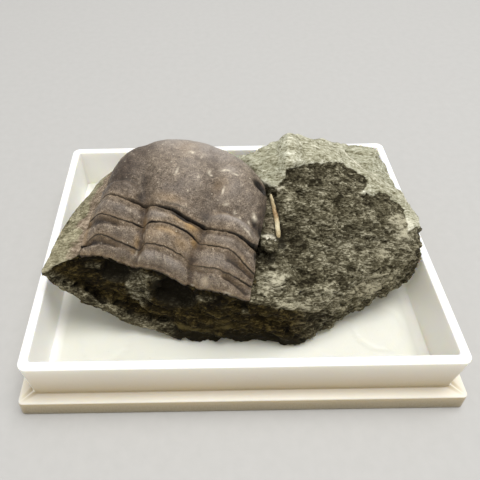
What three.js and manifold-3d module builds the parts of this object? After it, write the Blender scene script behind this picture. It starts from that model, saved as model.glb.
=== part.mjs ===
// Trilobite fossil on its piece of rock, lying in the base of a small white display box.
// Units are millimetres, +Z up. The origin is the middle of the tray's underside.
import * as THREE from 'three';
import { ConvexGeometry } from 'three/addons/geometries/ConvexGeometry.js';
import { TessellateModifier } from 'three/addons/modifiers/TessellateModifier.js';
import { mergeVertices } from 'three/addons/utils/BufferGeometryUtils.js';
import Module from 'manifold-3d';

// Tray
const RIM_HALF_X = 21.835;
const RIM_HALF_Y = 16.585;
const RIM_TOP = 7.52;
const RIM_CORNER = 0.9;
const LEAST_CORNER = 0.3;
const WALL = 0.96;
const FLOOR_TOP = 1.715;
const FLANGE = 1.165;
const FLANGE_TOP = 2.2;
const FLANGE_CORNER = 0.5;
const FOOT_FLARE = 0.2;
const CORNER_STEPS = 4;

// Rock
const ROCK_EDGE = 2.6;
const ROCK_ROUGHNESS = 0.16;
const ROCK_FLAT_BELOW = 2.3;
const GAP = 0.3;

// Place and turn of the trilobite: its own frame has x across, y forward and z up,
// with the zero point at the middle of the back edge of the head shield.
const BODY_ORIGIN = [-6.5, -3.6, 16.4];
const BODY_YAW = -0.3;
const BODY_ROLL = 0.07;

// Head shield
const HEAD_LEFT = 8.25;
const HEAD_RIGHT = 8.91;
const HEAD_LENGTH = 10.33;
const HEAD_CREST = 1.65;
const HEAD_CREST_Y = 4.19;
const HEAD_DROP = 2.82;
const HEAD_DROP_POWER = 5.68;
const HEAD_BACK_FALL = 2.0;
const HEAD_BACK_POWER = 1.8;
const HEAD_OUTLINE_POWER = 0.62;
const HEAD_SHELL = 1.4;
const FURROW_DEPTH = 1.15;
const FURROW_WIDTH = 1.05;
const FURROW_LENGTH = 9.5;
const LEFT_FURROW = { x: -3.2, lean: -0.29 };
const RIGHT_FURROW = { x: 3.5, lean: -0.1 };
const BORDER_FURROW = { y: 1.75, width: 0.42, depth: 0.22, from: 3.4, to: 4.3 };
const RIGHT_CHEEK_SLOPE = 0.05;

// Thorax: four cross lines, from the back edge of the head shield to the broken edge.
// Each is a row of [x, y, z] places: tip, bend, furrow, three on the axis, furrow, bend, tip.
const RIBS = [
  [
    [-8.9, 0.2, -3.5], [-6.4, -0.3, -0.4], [-3.2, 0.15, -1.45], [-1.9, -0.2, -0.5], [-0.2, -0.3, -0.4],
    [1.8, -0.6, -0.9], [3.55, -0.3, -1.8], [6.2, -0.9, -0.8], [8.9, -0.2, -3.2],
  ],
  [
    [-8.9, -1.6, -4.0], [-6.6, -2.2, -1.4], [-2.9, -1.5, -2.6], [-1.8, -1.6, -1.4], [-0.2, -1.5, -1.1],
    [1.7, -1.6, -1.45], [3.5, -1.7, -2.6], [6.2, -2.3, -1.6], [9.35, -2.4, -4.4],
  ],
  [
    [-8.5, -4.7, -4.6], [-6.6, -3.6, -3.0], [-2.8, -3.2, -4.3], [-1.8, -3.1, -3.1], [-0.2, -3.1, -2.8],
    [1.65, -3.2, -3.3], [3.25, -3.35, -4.2], [5.95, -3.8, -3.2], [9.4, -3.25, -5.45],
  ],
  [
    [-8.3, -5.5, -4.9], [-6.5, -4.7, -5.2], [-3.2, -4.2, -6.25], [-1.7, -4.4, -5.5], [0.0, -4.5, -5.2],
    [1.9, -4.6, -5.8], [3.5, -4.5, -6.5], [6.6, -4.9, -5.4], [9.55, -4.2, -6.6],
  ],
];
const RIB_SHELL = [1.2, 1.2, 1.2, 0.95];
const PLATE_GAP = 0.26;
const PLATE_GROOVE = { at: 0.3, width: 0.13, depth: 0.14 };
const PLATE_BAND = { at: 0.66, width: 0.24, height: 0.16 };

// Cutter that makes room for the fossil in the rock
const SEAT_TOP = 9;
const SEAT_FRONT = 1.3;
const SEAT_FRONT_DEPTH = 1.2;
const SEAT_EXTRA = 0.18;
const SEAT_TIP_SLOPE = 0.15;
const SEAT_TIP_FROM = 6.5;

// Grid steps
const ACROSS = 30;
const HEAD_ALONG = 10;
const PLATE_ALONG = 4;
const SEAT_ACROSS = 24;
const SEAT_ALONG = 7;

// Corners of the rock under the fossil: front edge, left flank, core under the plates, hidden back
const LEFT_CORNERS = [
  [-20.4, -7.6, 11.0], [-19.9, -7.9, 9.5], [-19.1, -7.6, 8.0], [-17.3, -7.8, 6.0],
  [-15.3, -8.2, 4.2], [-11.9, -9.4, 3.0], [-9.6, -9.9, 2.5], [-6.5, -10.6, 2.2],
  [-2.9, -10.9, 2.05], [0.6, -11.1, 2.05], [-19.2, -2.1, 12.0], [-15.5, 5.1, 12.5],
  [-14.4, 5.3, 13.3], [-12.4, 0.2, 15.2], [-9.6, 4.2, 15.8], [-4.2, 5.0, 16.0],
  [0.2, 2.4, 15.4], [1.4, -2.6, 14.2], [-1.0, -6.2, 14.2], [-2.0, -10.2, 9.0],
  [-3.0, -9.4, 10.4], [-8.2, -7.6, 10.8], [-14.2, -5.6, 11.7], [-17.0, -5.4, 12.0],
  [-9.0, 7.8, 13.0], [-3.0, 6.6, 12.8], [-16.2, 5.9, 8.0], [-10.5, 9.4, 7.0],
  [0.0, 8.6, 7.0], [-8.5, 7.6, 2.05], [0.0, 8.0, 2.05], [-14.5, 3.6, 3.0],
  [-17.8, -3.6, 6.4], [-13.4, -4.6, 2.6], [1.0, -9.8, 8.6],
];
// Corners of the block on the right: lower edge, right tip, pale top facets, dark face, hidden back
const RIGHT_CORNERS = [
  [-2.9, -10.9, 2.05], [0.6, -11.1, 2.05], [3.7, -11.1, 2.2], [6.7, -11.5, 2.05],
  [7.9, -11.1, 2.3], [10.0, -9.8, 2.6], [12.3, -8.9, 3.0], [14.2, -8.0, 3.6],
  [15.6, -7.3, 4.4], [17.1, -6.5, 4.8], [19.1, -6.0, 5.0], [20.3, -5.5, 6.2],
  [20.2, -4.5, 8.2], [20.8, -3.8, 9.2], [20.6, -1.6, 9.5], [19.4, 2.3, 10.9],
  [19.3, 4.9, 10.8], [18.8, 9.4, 10.7], [18.2, 10.5, 11.0], [15.9, 9.1, 12.2],
  [11.9, 8.3, 14.2], [8.4, 6.6, 16.0], [6.4, 6.2, 17.0], [6.1, 2.2, 16.5],
  [11.9, 3.9, 14.6], [14.8, 4.1, 13.3], [10.4, -8.8, 6.8], [7.4, -10.4, 6.7],
  [4.7, -10.7, 7.5], [1.3, -10.4, 8.8], [5.3, 6.1, 16.6], [3.3, 5.1, 15.9],
  [0.4, 4.9, 15.0], [2.2, 1.8, 14.3], [2.9, -1.6, 13.5], [4.1, -0.6, 14.7],
  [2.4, -6.4, 11.3], [-2.0, 6.4, 9.0], [2.0, 10.0, 9.0], [12.0, 12.0, 8.0],
  [18.0, 11.2, 7.0], [19.6, 3.0, 4.6], [17.0, 8.6, 2.6], [6.0, 10.2, 2.05],
  [-3.0, 8.0, 2.05], [14.6, -3.4, 2.05], [15.4, 6.0, 2.05],
];
// Air in front of the steep face below the broken edge: its back side shapes that face
const FRONT_CUT = [
  [-19.9, -7.75, 11.5], [-17.3, -5.75, 12.3], [-14.4, -6.25, 10.8], [-8.2, -8.35, 10.0],
  [-2.0, -10.5, 9.2], [-14.4, -6.35, 12.8], [-8.2, -8.5, 12.2], [-2.0, -10.7, 11.5],
  [-18.9, -7.3, 9.0], [-17.0, -7.0, 7.9], [-15.5, -7.1, 6.6], [-12.9, -7.6, 5.1],
  [-10.7, -8.6, 3.6], [-7.9, -9.1, 3.7], [-6.6, -10.4, 2.9], [-21.5, -16.0, 13.0],
  [0.0, -16.0, 13.0], [0.0, -16.0, 6.0], [-6.0, -16.0, 2.9], [-14.0, -16.0, 3.6],
  [-21.5, -16.0, 9.0],
];
// Hollows and a knob on the rock: centre, half sizes, turn about the upright
const HOLLOWS = [
  { at: [-12.9, -6.9, 9.2], size: [1.5, 1.2, 1.2], turn: -0.3 },
  { at: [-6.9, -9.2, 8.3], size: [2.3, 1.5, 1.4], turn: -0.3 },
  { at: [3.3, 0.9, 14.9], size: [0.8, 0.6, 0.8], turn: 0.5 },
  { at: [2.7, -5.6, 11.4], size: [1.0, 0.7, 0.8], turn: 0.1 },
];
const KNOB = { at: [3.1, -4.9, 11.9], size: [0.75, 0.75, 0.8], turn: 0 };

// Thin curved section of a loose cheek, seen edge-on in the rock right of the head shield
const SLIVER_PATH = [[3.55, -0.35, 14.75], [4.15, -1.8, 13.7], [4.4, -3.2, 12.85], [4.3, -4.4, 12.15]];
const SLIVER_HALF = 0.2;
const SLIVER_TAPER = 0.45;
const SLIVER_PROUD = 0.12;
const SLIVER_DEPTH = 0.5;
const SLIVER_CUT_UP = 1.5;

const wasm = await Module();
wasm.setup();

function toSolid(geometry) {
  const bare = geometry.clone();
  bare.deleteAttribute('normal');
  bare.deleteAttribute('uv');
  const welded = mergeVertices(bare, 1e-4);
  const mesh = new wasm.Mesh({
    numProp: 3,
    vertProperties: new Float32Array(welded.attributes.position.array),
    triVerts: new Uint32Array(welded.index.array),
  });
  return new wasm.Manifold(mesh);
}

function indexedGeometry(points, faces) {
  const geometry = new THREE.BufferGeometry();
  geometry.setAttribute('position', new THREE.BufferAttribute(new Float32Array(points), 3));
  geometry.setIndex(new THREE.BufferAttribute(new Uint32Array(faces), 1));
  return geometry;
}

function toGeometry(solid) {
  const mesh = solid.getMesh();
  return indexedGeometry(mesh.vertProperties, mesh.triVerts);
}

// Smooth curve through the given places that never overshoots them
function monotone(xs, ys) {
  const last = xs.length - 1;
  const step = ys.slice(1).map((y, i) => (y - ys[i]) / (xs[i + 1] - xs[i]));
  const slope = ys.map((y, i) => {
    if (i === 0 || i === last) return step[Math.min(i, last - 1)];
    const product = step[i - 1] * step[i];
    return product > 0 ? (2 * product) / (step[i - 1] + step[i]) : 0;
  });
  return (x) => {
    const i = Math.max(0, Math.min(last - 1, xs.findLastIndex((known) => known <= x)));
    const h = xs[i + 1] - xs[i];
    const t = (x - xs[i]) / h;
    const start = (1 + 2 * t) * (1 - t) ** 2 * ys[i] + t * (1 - t) ** 2 * h * slope[i];
    const end = t * t * (3 - 2 * t) * ys[i + 1] + t * t * (t - 1) * h * slope[i + 1];
    return start + end;
  };
}

// A closed body between an upper and a lower sheet that share one grid
function sheetSolid(nu, nv, upper, lower) {
  const points = [];
  const faces = [];
  const row = nv + 1;
  const layer = (nu + 1) * row;
  for (const place of [upper, lower]) {
    for (let i = 0; i <= nu; i += 1) {
      for (let j = 0; j <= nv; j += 1) points.push(...place(i / nu, j / nv));
    }
  }
  const quad = (a, b, c, d) => faces.push(a, b, c, a, c, d);
  for (let i = 0; i < nu; i += 1) {
    for (let j = 0; j < nv; j += 1) {
      const a = i * row + j;
      quad(a, a + row, a + row + 1, a + 1);
      quad(layer + a, layer + a + 1, layer + a + row + 1, layer + a + row);
    }
  }
  for (let i = 0; i < nu; i += 1) {
    const a = i * row;
    const b = i * row + nv;
    quad(a + row, a, layer + a, layer + a + row);
    quad(b, b + row, layer + b + row, layer + b);
  }
  for (let j = 0; j < nv; j += 1) {
    const b = nu * row + j;
    quad(j, j + 1, layer + j + 1, layer + j);
    quad(b + 1, b, layer + b, layer + b + 1);
  }
  return indexedGeometry(points, faces);
}

const bell = (t) => Math.exp(-t * t);

const bodyMatrix = new THREE.Matrix4()
  .makeTranslation(...BODY_ORIGIN)
  .multiply(new THREE.Matrix4().makeRotationZ(BODY_YAW))
  .multiply(new THREE.Matrix4().makeRotationY(BODY_ROLL));

const KNOTS = RIBS[0].map((p) => p[0]);
const LEFT_TIP = KNOTS[0];
const RIGHT_TIP = KNOTS[KNOTS.length - 1];
const ribCurves = RIBS.map((row) => [0, 1, 2].map((axis) => monotone(KNOTS, row.map((p) => p[axis]))));
const headBack = ribCurves[0][1];

// Height of the head shield's plain dome at a place in the trilobite's frame
function domeHeight(x, y) {
  const across = x < 0 ? x / HEAD_LEFT : x / HEAD_RIGHT;
  const ahead = Math.max(0, y - HEAD_CREST_Y) / (HEAD_LENGTH - HEAD_CREST_Y);
  const behind = Math.max(0, HEAD_CREST_Y - y) / HEAD_CREST_Y;
  const drop = HEAD_DROP * Math.hypot(across, ahead) ** HEAD_DROP_POWER;
  return HEAD_CREST - drop - HEAD_BACK_FALL * behind ** HEAD_BACK_POWER;
}

// Furrows that set the middle lobe off from the cheeks, fading towards the front,
// and the border furrow across the back of each cheek
function headRelief(x, y) {
  const fade = Math.max(0, 1 - y / FURROW_LENGTH) ** 1.6;
  const left = bell((x - LEFT_FURROW.x - LEFT_FURROW.lean * y) / FURROW_WIDTH);
  const right = bell((x - RIGHT_FURROW.x - RIGHT_FURROW.lean * y) / FURROW_WIDTH);
  const tilt = RIGHT_CHEEK_SLOPE * Math.max(0, x) * Math.max(0, 1 - y / HEAD_CREST_Y);
  const border = THREE.MathUtils.clamp(
    (Math.abs(x) - BORDER_FURROW.from) / (BORDER_FURROW.to - BORDER_FURROW.from), 0, 1);
  const groove = border * BORDER_FURROW.depth * bell((y - BORDER_FURROW.y) / BORDER_FURROW.width);
  return -FURROW_DEPTH * (left + right) * fade - tilt - groove;
}

// Place on the head shield: s runs across from left to right, t from the back edge to the front
function headPlace(s, t, grow) {
  const angle = (s - 0.5) * Math.PI;
  const half = (angle < 0 ? HEAD_LEFT : HEAD_RIGHT) + grow;
  const edgeX = half * Math.sin(angle);
  const startX = (edgeX + half * (2 * s - 1)) / 2;
  const back = (x) => headBack(x) + PLATE_GAP / 2 - grow;
  const edgeY = Math.max((HEAD_LENGTH + grow) * Math.cos(angle) ** HEAD_OUTLINE_POWER, back(edgeX));
  const share = 1 - (1 - t) ** 1.35;
  return [startX + (edgeX - startX) * share, back(startX) + (edgeY - back(startX)) * share];
}

function headSheet(depth) {
  return (s, t) => {
    const [x, y] = headPlace(s, t, 0);
    return [x, y, domeHeight(x, y) + headRelief(x, y) - depth];
  };
}

// Place on the thorax: s runs across, line is a number from 0 to 3 along the four cross lines
function thoraxPlace(s, line, grow) {
  const knot = LEFT_TIP + (RIGHT_TIP - LEFT_TIP) * s;
  const i = Math.min(2, Math.floor(line));
  const f = line - i;
  const mix = (a, b) => a * (1 - f) + b * f;
  const [x, y, z] = [0, 1, 2].map((axis) => mix(ribCurves[i][axis](knot), ribCurves[i + 1][axis](knot)));
  return [x + grow * (2 * s - 1), y, z, mix(RIB_SHELL[i], RIB_SHELL[i + 1])];
}

// Each thorax plate has a flat front band, a shallow groove and a raised back band
function plateRelief(f) {
  const groove = PLATE_GROOVE.depth * bell((f - PLATE_GROOVE.at) / PLATE_GROOVE.width);
  const band = PLATE_BAND.height * bell((f - PLATE_BAND.at) / PLATE_BAND.width);
  return band - groove;
}

function plateGeometry(index) {
  const sheet = (deep) => (s, forward) => {
    const f = 1 - forward;
    const [x, , z, shell] = thoraxPlace(s, index + f, 0);
    const front = thoraxPlace(s, index, 0)[1] - PLATE_GAP / 2;
    const back = thoraxPlace(s, index + 1, 0)[1] + PLATE_GAP / 2;
    return [x, front + (back - front) * f, deep ? z - shell : z + plateRelief(f)];
  };
  return sheetSolid(ACROSS, PLATE_ALONG, sheet(false), sheet(true));
}

function headSeat() {
  const roof = (s, t) => [...headPlace(s, t, GAP), SEAT_TOP];
  const bed = (s, t) => {
    const [x, y] = headPlace(s, t, GAP);
    const [plateX, plateY] = headPlace(s, t, 0);
    const height = Math.min(domeHeight(x, y), domeHeight(plateX, plateY));
    return [x, y, height + headRelief(plateX, plateY) - HEAD_SHELL - GAP];
  };
  return sheetSolid(SEAT_ACROSS, SEAT_ALONG, roof, bed);
}

function thoraxSeat() {
  const line = (t) => 3 * (1 - Math.max(0, t * SEAT_ALONG - 1) / (SEAT_ALONG - 1));
  const roof = (s, t) => {
    const [x, y] = thoraxPlace(s, line(t), GAP);
    return [x, t === 0 ? y - SEAT_FRONT : y, SEAT_TOP];
  };
  const bed = (s, t) => {
    const [x, y, z, shell] = thoraxPlace(s, line(t), GAP);
    const tip = Math.max(0, Math.abs(x) - SEAT_TIP_FROM) * SEAT_TIP_SLOPE;
    const floor = z - shell - GAP - SEAT_EXTRA - tip;
    return t === 0 ? [x, y - SEAT_FRONT, floor - SEAT_FRONT_DEPTH] : [x, y, floor];
  };
  return sheetSolid(SEAT_ACROSS, SEAT_ALONG, roof, bed);
}

function ellipsoid({ at, size, turn }) {
  const geometry = new THREE.IcosahedronGeometry(1, 2);
  geometry.scale(...size);
  geometry.rotateZ(turn);
  geometry.translate(...at);
  return toSolid(geometry);
}

// Slow waves that roughen the broken faces, from -1 to 1
function wave(x, y, z) {
  const slow = Math.sin(1.7 * x + 0.9 * y + 0.4) * Math.sin(1.3 * y - 1.1 * z + 1.2);
  const quick = Math.sin(2.9 * x - 2.3 * z + 2.1) * Math.sin(2.6 * y + 1.9 * z + 0.3);
  return 0.6 * slow + 0.4 * quick;
}

// Block with flat facets between the given corners, its surface then roughened
function roughBlock(corners) {
  const hull = new ConvexGeometry(corners.map((p) => new THREE.Vector3(...p)));
  hull.deleteAttribute('normal');
  const block = mergeVertices(new TessellateModifier(ROCK_EDGE, 14).modify(hull), 1e-3);
  block.computeVertexNormals();
  const { position, normal } = block.attributes;
  const place = new THREE.Vector3();
  const out = new THREE.Vector3();
  for (let i = 0; i < position.count; i += 1) {
    place.fromBufferAttribute(position, i);
    out.fromBufferAttribute(normal, i);
    const rough = place.z < ROCK_FLAT_BELOW ? 0 : ROCK_ROUGHNESS * wave(place.x, place.y, place.z);
    position.setXYZ(i, ...place.addScaledVector(out, rough));
  }
  return toSolid(block);
}

function sliver(grow) {
  const curve = new THREE.CatmullRomCurve3(SLIVER_PATH.map((p) => new THREE.Vector3(...p)));
  const edge = (rise) => (s, t) => {
    const p = curve.getPoint(s);
    const half = SLIVER_HALF * (1 - SLIVER_TAPER * Math.abs(2 * s - 1) ** 3) + grow;
    return [p.x + (2 * t - 1) * half, p.y - (2 * s - 1) * grow, p.z + rise];
  };
  const up = SLIVER_PROUD + (grow > 0 ? SLIVER_CUT_UP : 0);
  return sheetSolid(10, 2, edge(up), edge(-SLIVER_DEPTH - grow));
}

// Tray: rings of one rounded rectangle, from the underside's edge out, up, and in to the floor
function trayGeometry() {
  const profile = [
    [FLANGE + FOOT_FLARE, 0], [FLANGE, FLANGE_TOP - 0.15], [FLANGE - 0.12, FLANGE_TOP],
    [0.3, FLANGE_TOP], [0.08, FLANGE_TOP + 0.1], [0, FLANGE_TOP + 0.34],
    [0, RIM_TOP - 0.12], [-0.12, RIM_TOP], [0.1 - WALL, RIM_TOP], [-WALL, RIM_TOP - 0.1],
    [-WALL, FLOOR_TOP + 0.3], [-WALL - 0.09, FLOOR_TOP + 0.09], [-WALL - 0.3, FLOOR_TOP],
  ];
  const ring = 4 * (CORNER_STEPS + 1);
  const points = [];
  const faces = [];
  for (const [offset, z] of profile) {
    const radius = offset > FLANGE / 2 ? FLANGE_CORNER : Math.max(LEAST_CORNER, RIM_CORNER + offset);
    for (let k = 0; k < ring; k += 1) {
      const quarter = Math.floor(k / (CORNER_STEPS + 1));
      const angle = ((quarter + (k % (CORNER_STEPS + 1)) / CORNER_STEPS) * Math.PI) / 2;
      const sideX = quarter === 0 || quarter === 3 ? 1 : -1;
      const sideY = quarter < 2 ? 1 : -1;
      const x = sideX * (RIM_HALF_X + offset - radius) + radius * Math.cos(angle);
      const y = sideY * (RIM_HALF_Y + offset - radius) + radius * Math.sin(angle);
      points.push(x, y, z);
    }
  }
  const last = (profile.length - 1) * ring;
  const under = points.length / 3;
  points.push(0, 0, 0, 0, 0, FLOOR_TOP);
  for (let k = 0; k < ring; k += 1) {
    const next = (k + 1) % ring;
    for (let r = 0; r < last; r += ring) {
      faces.push(r + k, r + next, r + next + ring, r + k, r + next + ring, r + k + ring);
    }
    faces.push(under, next, k, under + 1, last + k, last + next);
  }
  return indexedGeometry(points, faces);
}

function rockGeometry() {
  let rock = roughBlock(LEFT_CORNERS).add(roughBlock(RIGHT_CORNERS));
  rock = rock.subtract(roughBlock(FRONT_CUT)).add(ellipsoid(KNOB));
  for (const hollow of HOLLOWS) rock = rock.subtract(ellipsoid(hollow));
  rock = rock.subtract(toSolid(headSeat().applyMatrix4(bodyMatrix)));
  rock = rock.subtract(toSolid(thoraxSeat().applyMatrix4(bodyMatrix)));
  rock = rock.subtract(toSolid(sliver(GAP)));
  return toGeometry(rock);
}

const group = new THREE.Group();
group.name = 'ellipsocephalus_hoffi_trilobite';

function addNode(name, geometry, color, roughness) {
  geometry.computeVertexNormals();
  const material = new THREE.MeshStandardMaterial({ color, roughness, metalness: 0 });
  const mesh = new THREE.Mesh(geometry, material);
  mesh.name = name;
  group.add(mesh);
}

addNode('display_tray', trayGeometry(), 0xf2f0e8, 0.35);
addNode('rock_matrix', rockGeometry(), 0x77725a, 0.9);
const headGeometry = sheetSolid(ACROSS, HEAD_ALONG, headSheet(0), headSheet(HEAD_SHELL));
addNode('cephalon', headGeometry.applyMatrix4(bodyMatrix), 0x857568, 0.7);
const plateColors = [0x8c7b68, 0x8a7866, 0x83796f];
plateColors.forEach((color, index) => {
  addNode(`thorax_segment_${index + 1}`, plateGeometry(index).applyMatrix4(bodyMatrix), color, 0.7);
});
addNode('free_cheek_sliver', sliver(0), 0xa08a5e, 0.65);

export default group;
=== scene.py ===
"""Trilobite fossil on a broken piece of rock, lying in a small white display tray."""
import itertools
import math
from types import SimpleNamespace

import bmesh
import bpy
import numpy as np
from mathutils import Matrix, Vector, noise
from mathutils.bvhtree import BVHTree


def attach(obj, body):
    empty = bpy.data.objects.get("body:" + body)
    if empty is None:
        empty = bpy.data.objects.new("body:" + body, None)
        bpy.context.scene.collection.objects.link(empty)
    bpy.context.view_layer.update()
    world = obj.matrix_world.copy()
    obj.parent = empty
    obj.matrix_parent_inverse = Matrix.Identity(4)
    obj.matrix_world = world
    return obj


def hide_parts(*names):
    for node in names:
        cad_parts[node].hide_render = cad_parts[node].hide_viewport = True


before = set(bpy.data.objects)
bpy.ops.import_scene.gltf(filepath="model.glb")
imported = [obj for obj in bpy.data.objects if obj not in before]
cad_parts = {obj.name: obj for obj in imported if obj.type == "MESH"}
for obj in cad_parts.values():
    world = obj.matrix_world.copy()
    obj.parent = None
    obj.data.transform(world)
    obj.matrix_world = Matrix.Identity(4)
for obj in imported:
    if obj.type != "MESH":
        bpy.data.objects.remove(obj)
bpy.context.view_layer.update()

# Shapes are worked out in millimetres and scaled to metres when their mesh is made.
MM = 0.001
# Places of a piece that lie closer together than this are joined.
JOIN_DISTANCE = 0.001

# Fineness of the sheets: how many places across and along
HEAD_GRID = (221, 141)
PLATE_GRID = (261, 49)
SLIVER_GRID = (61, 9)
CAST_GRID = (90, 50)
FLANK_GRID = (60, 24)
BED_GRID = (40, 6)
LIMIT_GRID = (80, 40)

# Camera, fitted to the tray's corners in the photo
IMAGE_WIDTH = 480
FOCAL_PIXELS = 462.18
PRINCIPAL_PIXEL = (200, 230)
CAMERA_PLACE = (-3.592, -35.593, 49.138)
CAMERA_ELEVATION = 0.852
CAMERA_YAW = 0.012
CAMERA_ROLL = -0.028
SENSOR = 36

# Surroundings. Soft square lights: name, place and size in metres, power, colour
LIGHTS = [
    ("overhead", (0.08, 0.05, 0.46), 0.26, 2.1, (1, 0.99, 0.97)),
    ("front", (-0.12, -0.32, 0.34), 0.4, 0.5, (1, 0.95, 0.88)),
]
WORLD_COLOR = (1, 0.98, 0.95)
WORLD_STRENGTH = 0.5
TABLE_HALF = 600

# Place and turn of the trilobite: its own frame has x across, y forward and z up,
# with the zero point at the middle of the back edge of the head shield.
BODY_ORIGIN = np.array([-6.5, -3.6, 16.4])
BODY_TURN = np.array(Matrix.Rotation(-0.3, 3, "Z") @ Matrix.Rotation(0.07, 3, "Y"))
BODY_UP = Vector(BODY_TURN[:, 2])

# Head shield
HEAD_LEFT = 8.25
HEAD_RIGHT = 8.91
HEAD_LENGTH = 10.33
HEAD_CREST = 1.65
HEAD_CREST_Y = 4.19
HEAD_DROP = 2.82
HEAD_DROP_POWER = 5.68
HEAD_BACK_FALL = 2.0
HEAD_BACK_POWER = 1.8
HEAD_OUTLINE_POWER = 0.62
HEAD_SHELL = 1.4
FURROW_DEPTH = 1.1
FURROW_WIDTH = 1.0
FURROW_LENGTH = 9.5
LEFT_FURROW = (-3.25, -0.32)
RIGHT_FURROW = (3.4, -0.16)
BORDER_STEP = 0.08
BORDER_WIDTH = 1.3

# Thorax: four cross lines, from the back edge of the head shield to the broken edge.
# Each is a row of places: tip, bend, furrow, three on the axis, furrow, bend, tip.
RIBS = np.array([
    [[-8.9, 0.2, -3.5], [-6.4, -0.3, -0.4], [-3.2, 0.15, -1.45], [-1.9, -0.2, -0.5], [-0.2, -0.3, -0.4],
     [1.8, -0.6, -0.9], [3.55, -0.3, -1.8], [6.2, -0.9, -0.8], [8.9, -0.2, -3.2]],
    [[-8.9, -1.6, -4], [-6.6, -2.2, -1.4], [-2.9, -1.5, -2.6], [-1.8, -1.6, -1.4], [-0.2, -1.5, -1.1],
     [1.7, -1.6, -1.45], [3.5, -1.7, -2.6], [6.2, -2.3, -1.6], [9.35, -2.4, -4.4]],
    [[-8.5, -4.7, -4.6], [-6.6, -3.6, -3], [-2.8, -3.2, -4.3], [-1.8, -3.1, -3.1], [-0.2, -3.1, -2.8],
     [1.65, -3.2, -3.3], [3.25, -3.35, -4.2], [5.95, -3.8, -3.2], [9.4, -3.25, -5.45]],
    [[-8.3, -5.5, -4.9], [-6.5, -4.7, -5.2], [-3.2, -4.2, -6.25], [-1.7, -4.4, -5.5], [0, -4.5, -5.2],
     [1.9, -4.6, -5.8], [3.5, -4.5, -6.5], [6.6, -4.9, -5.4], [9.55, -4.2, -6.6]],
])
RIB_SHELL = np.array([1.2, 1.2, 1.2, 0.95])
TIP_TO_TIP = RIBS[0, -1, 0] - RIBS[0, 0, 0]
PLATES = len(RIBS) - 1
# Size of the flat map on which the thorax's marks and furrows are placed: across, and for each plate
FLAT_SCALE = (TIP_TO_TIP, 1.5)

# Half width of the open crack along each cross line: place across, half width
CRACKS = [
    [(-8.9, 0.01), (-6.6, 0.02), (-5.3, 0.02), (-3.6, 0.04), (-3, 0.02), (-2.1, 0.04), (-0.9, 0.06),
     (0.9, 0.09), (3.2, 0.07), (3.7, 0.03), (4.5, 0.03), (6.2, 0.05), (7.7, 0.08), (8.9, 0.2)],
    [(-8.9, 0.03), (-8.2, 0.06), (-7.5, 0.04), (-5.3, 0.03), (-3.6, 0.05), (-3, 0.02), (-2.1, 0.06),
     (-0.9, 0.04), (2.7, 0.06), (3.2, 0.02), (3.7, 0.01), (4.5, 0.04), (6.2, 0.03), (7.5, 0.04), (8.9, 0.05)],
    [(-8.9, 0.08), (-8.2, 0.04), (-5.3, 0.03), (-3.6, 0.05), (-3.2, 0.02), (-2.1, 0.04), (1.8, 0.03),
     (2.7, 0), (3.6, 0), (4.5, 0.02), (6.8, 0.02), (7.7, 0.04), (8.9, 0.05)],
    [(-8.9, 0.1), (8.9, 0.1)],
]

# Tray
RIM_HALF_X = 21.835
RIM_HALF_Y = 16.585
RIM_TOP = 7.52
RIM_CORNER = 0.9
LEAST_CORNER = 0.3
WALL = 0.96
TRAY_FLOOR = 1.715
FLANGE = 1.165
FLANGE_TOP = 2.2
FLANGE_CORNER = 0.5
FOOT_FLARE = 0.2
EDGE_ROUNDING = 0.14
# Round marks of the ejector pins on the tray's floor: centre, radius
EJECTOR_MARKS = [((-15, -10.2), 2.9), ((16.1, -9.3), 2.9)]

# Furrows and cracks on the thorax plates: half width, depth, places as (across 0 to 1, line 0 to 3)
GROOVES = [
    (0.3, 0.32, [(0, 1.18), (0.05, 1.28), (0.1, 1.37), (0.14, 1.35), (0.2, 1.22)]),
    (0.32, 0.36, [(0.03, 2.08), (0.06, 2.25), (0.1, 2.38), (0.15, 2.36), (0.21, 2.24)]),
    (0.08, 0.28, [(0.333, 1.45), (0.343, 1.68), (0.37, 1.92)]),
    (0.3, 0.45, [(0.87, 1.42), (0.9, 1.38), (0.94, 1.34), (0.985, 1.36)]),
    (0.18, 0.16, [(0.88, 0.62), (0.98, 0.72)]),
    (0.12, 0.35, [(0.045, 1.98), (0.02, 2.2), (0.006, 2.55)]),
    (0.3, 0.42, [(0.875, 2.2), (0.92, 2.36), (0.975, 2.6)]),
    (0.16, 0.12, [(0.35, 2.86), (0.5, 2.84), (0.68, 2.82)]),
    (0.3, 0.1, [(0.55, 0.2), (0.62, 0.12)]),
    (0.42, 0.3, [(0.325, 0), (0.322, 1), (0.335, 2), (0.34, 2.6)]),
    (0.45, 0.28, [(0.695, 0), (0.69, 1), (0.68, 2), (0.685, 2.5)]),
]

# Thin section of a loose cheek, from its back end to its front end
SLIVER_PATH = [(3.6, -0.7, 14.65), (3.92, -2, 13.65), (4.12, -3.2, 12.9), (4.2, -4.5, 12.1)]
SLIVER_HALF = 0.25

# Rock
ROCK_VOXEL = 0.2
ROCK_UNDERSIDE = 2.05
# Left flank: a smooth slope from the tips of the plates down to the outer edge of the rock
FLANK_TOP = [
    (-16.45, -6.3, 12.05), (-16.3, -5.4, 12.4), (-15.75, -2.4, 13.05), (-15.2, -0.7, 13.55),
    (-14.45, 0.6, 14.1), (-13.6, 2.3, 14.8), (-13, 4, 14.6), (-12.6, 5.4, 14),
]
FLANK_EDGE = [
    (-20.75, -7.75, 10.9), (-20.1, -6.3, 11.2), (-18.8, -2.9, 11.9), (-18.3, -1.2, 12),
    (-17.8, 0.3, 12), (-17, 2.1, 12), (-16.3, 4.2, 12), (-15, 6.1, 12),
]
FLANK_THICKNESS = (0.8, 4)
# How far the stone cast under the fossil lies below its surface and reaches past its edge
CAST_DROP = 0.85
CAST_GROW = 0.3
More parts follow.
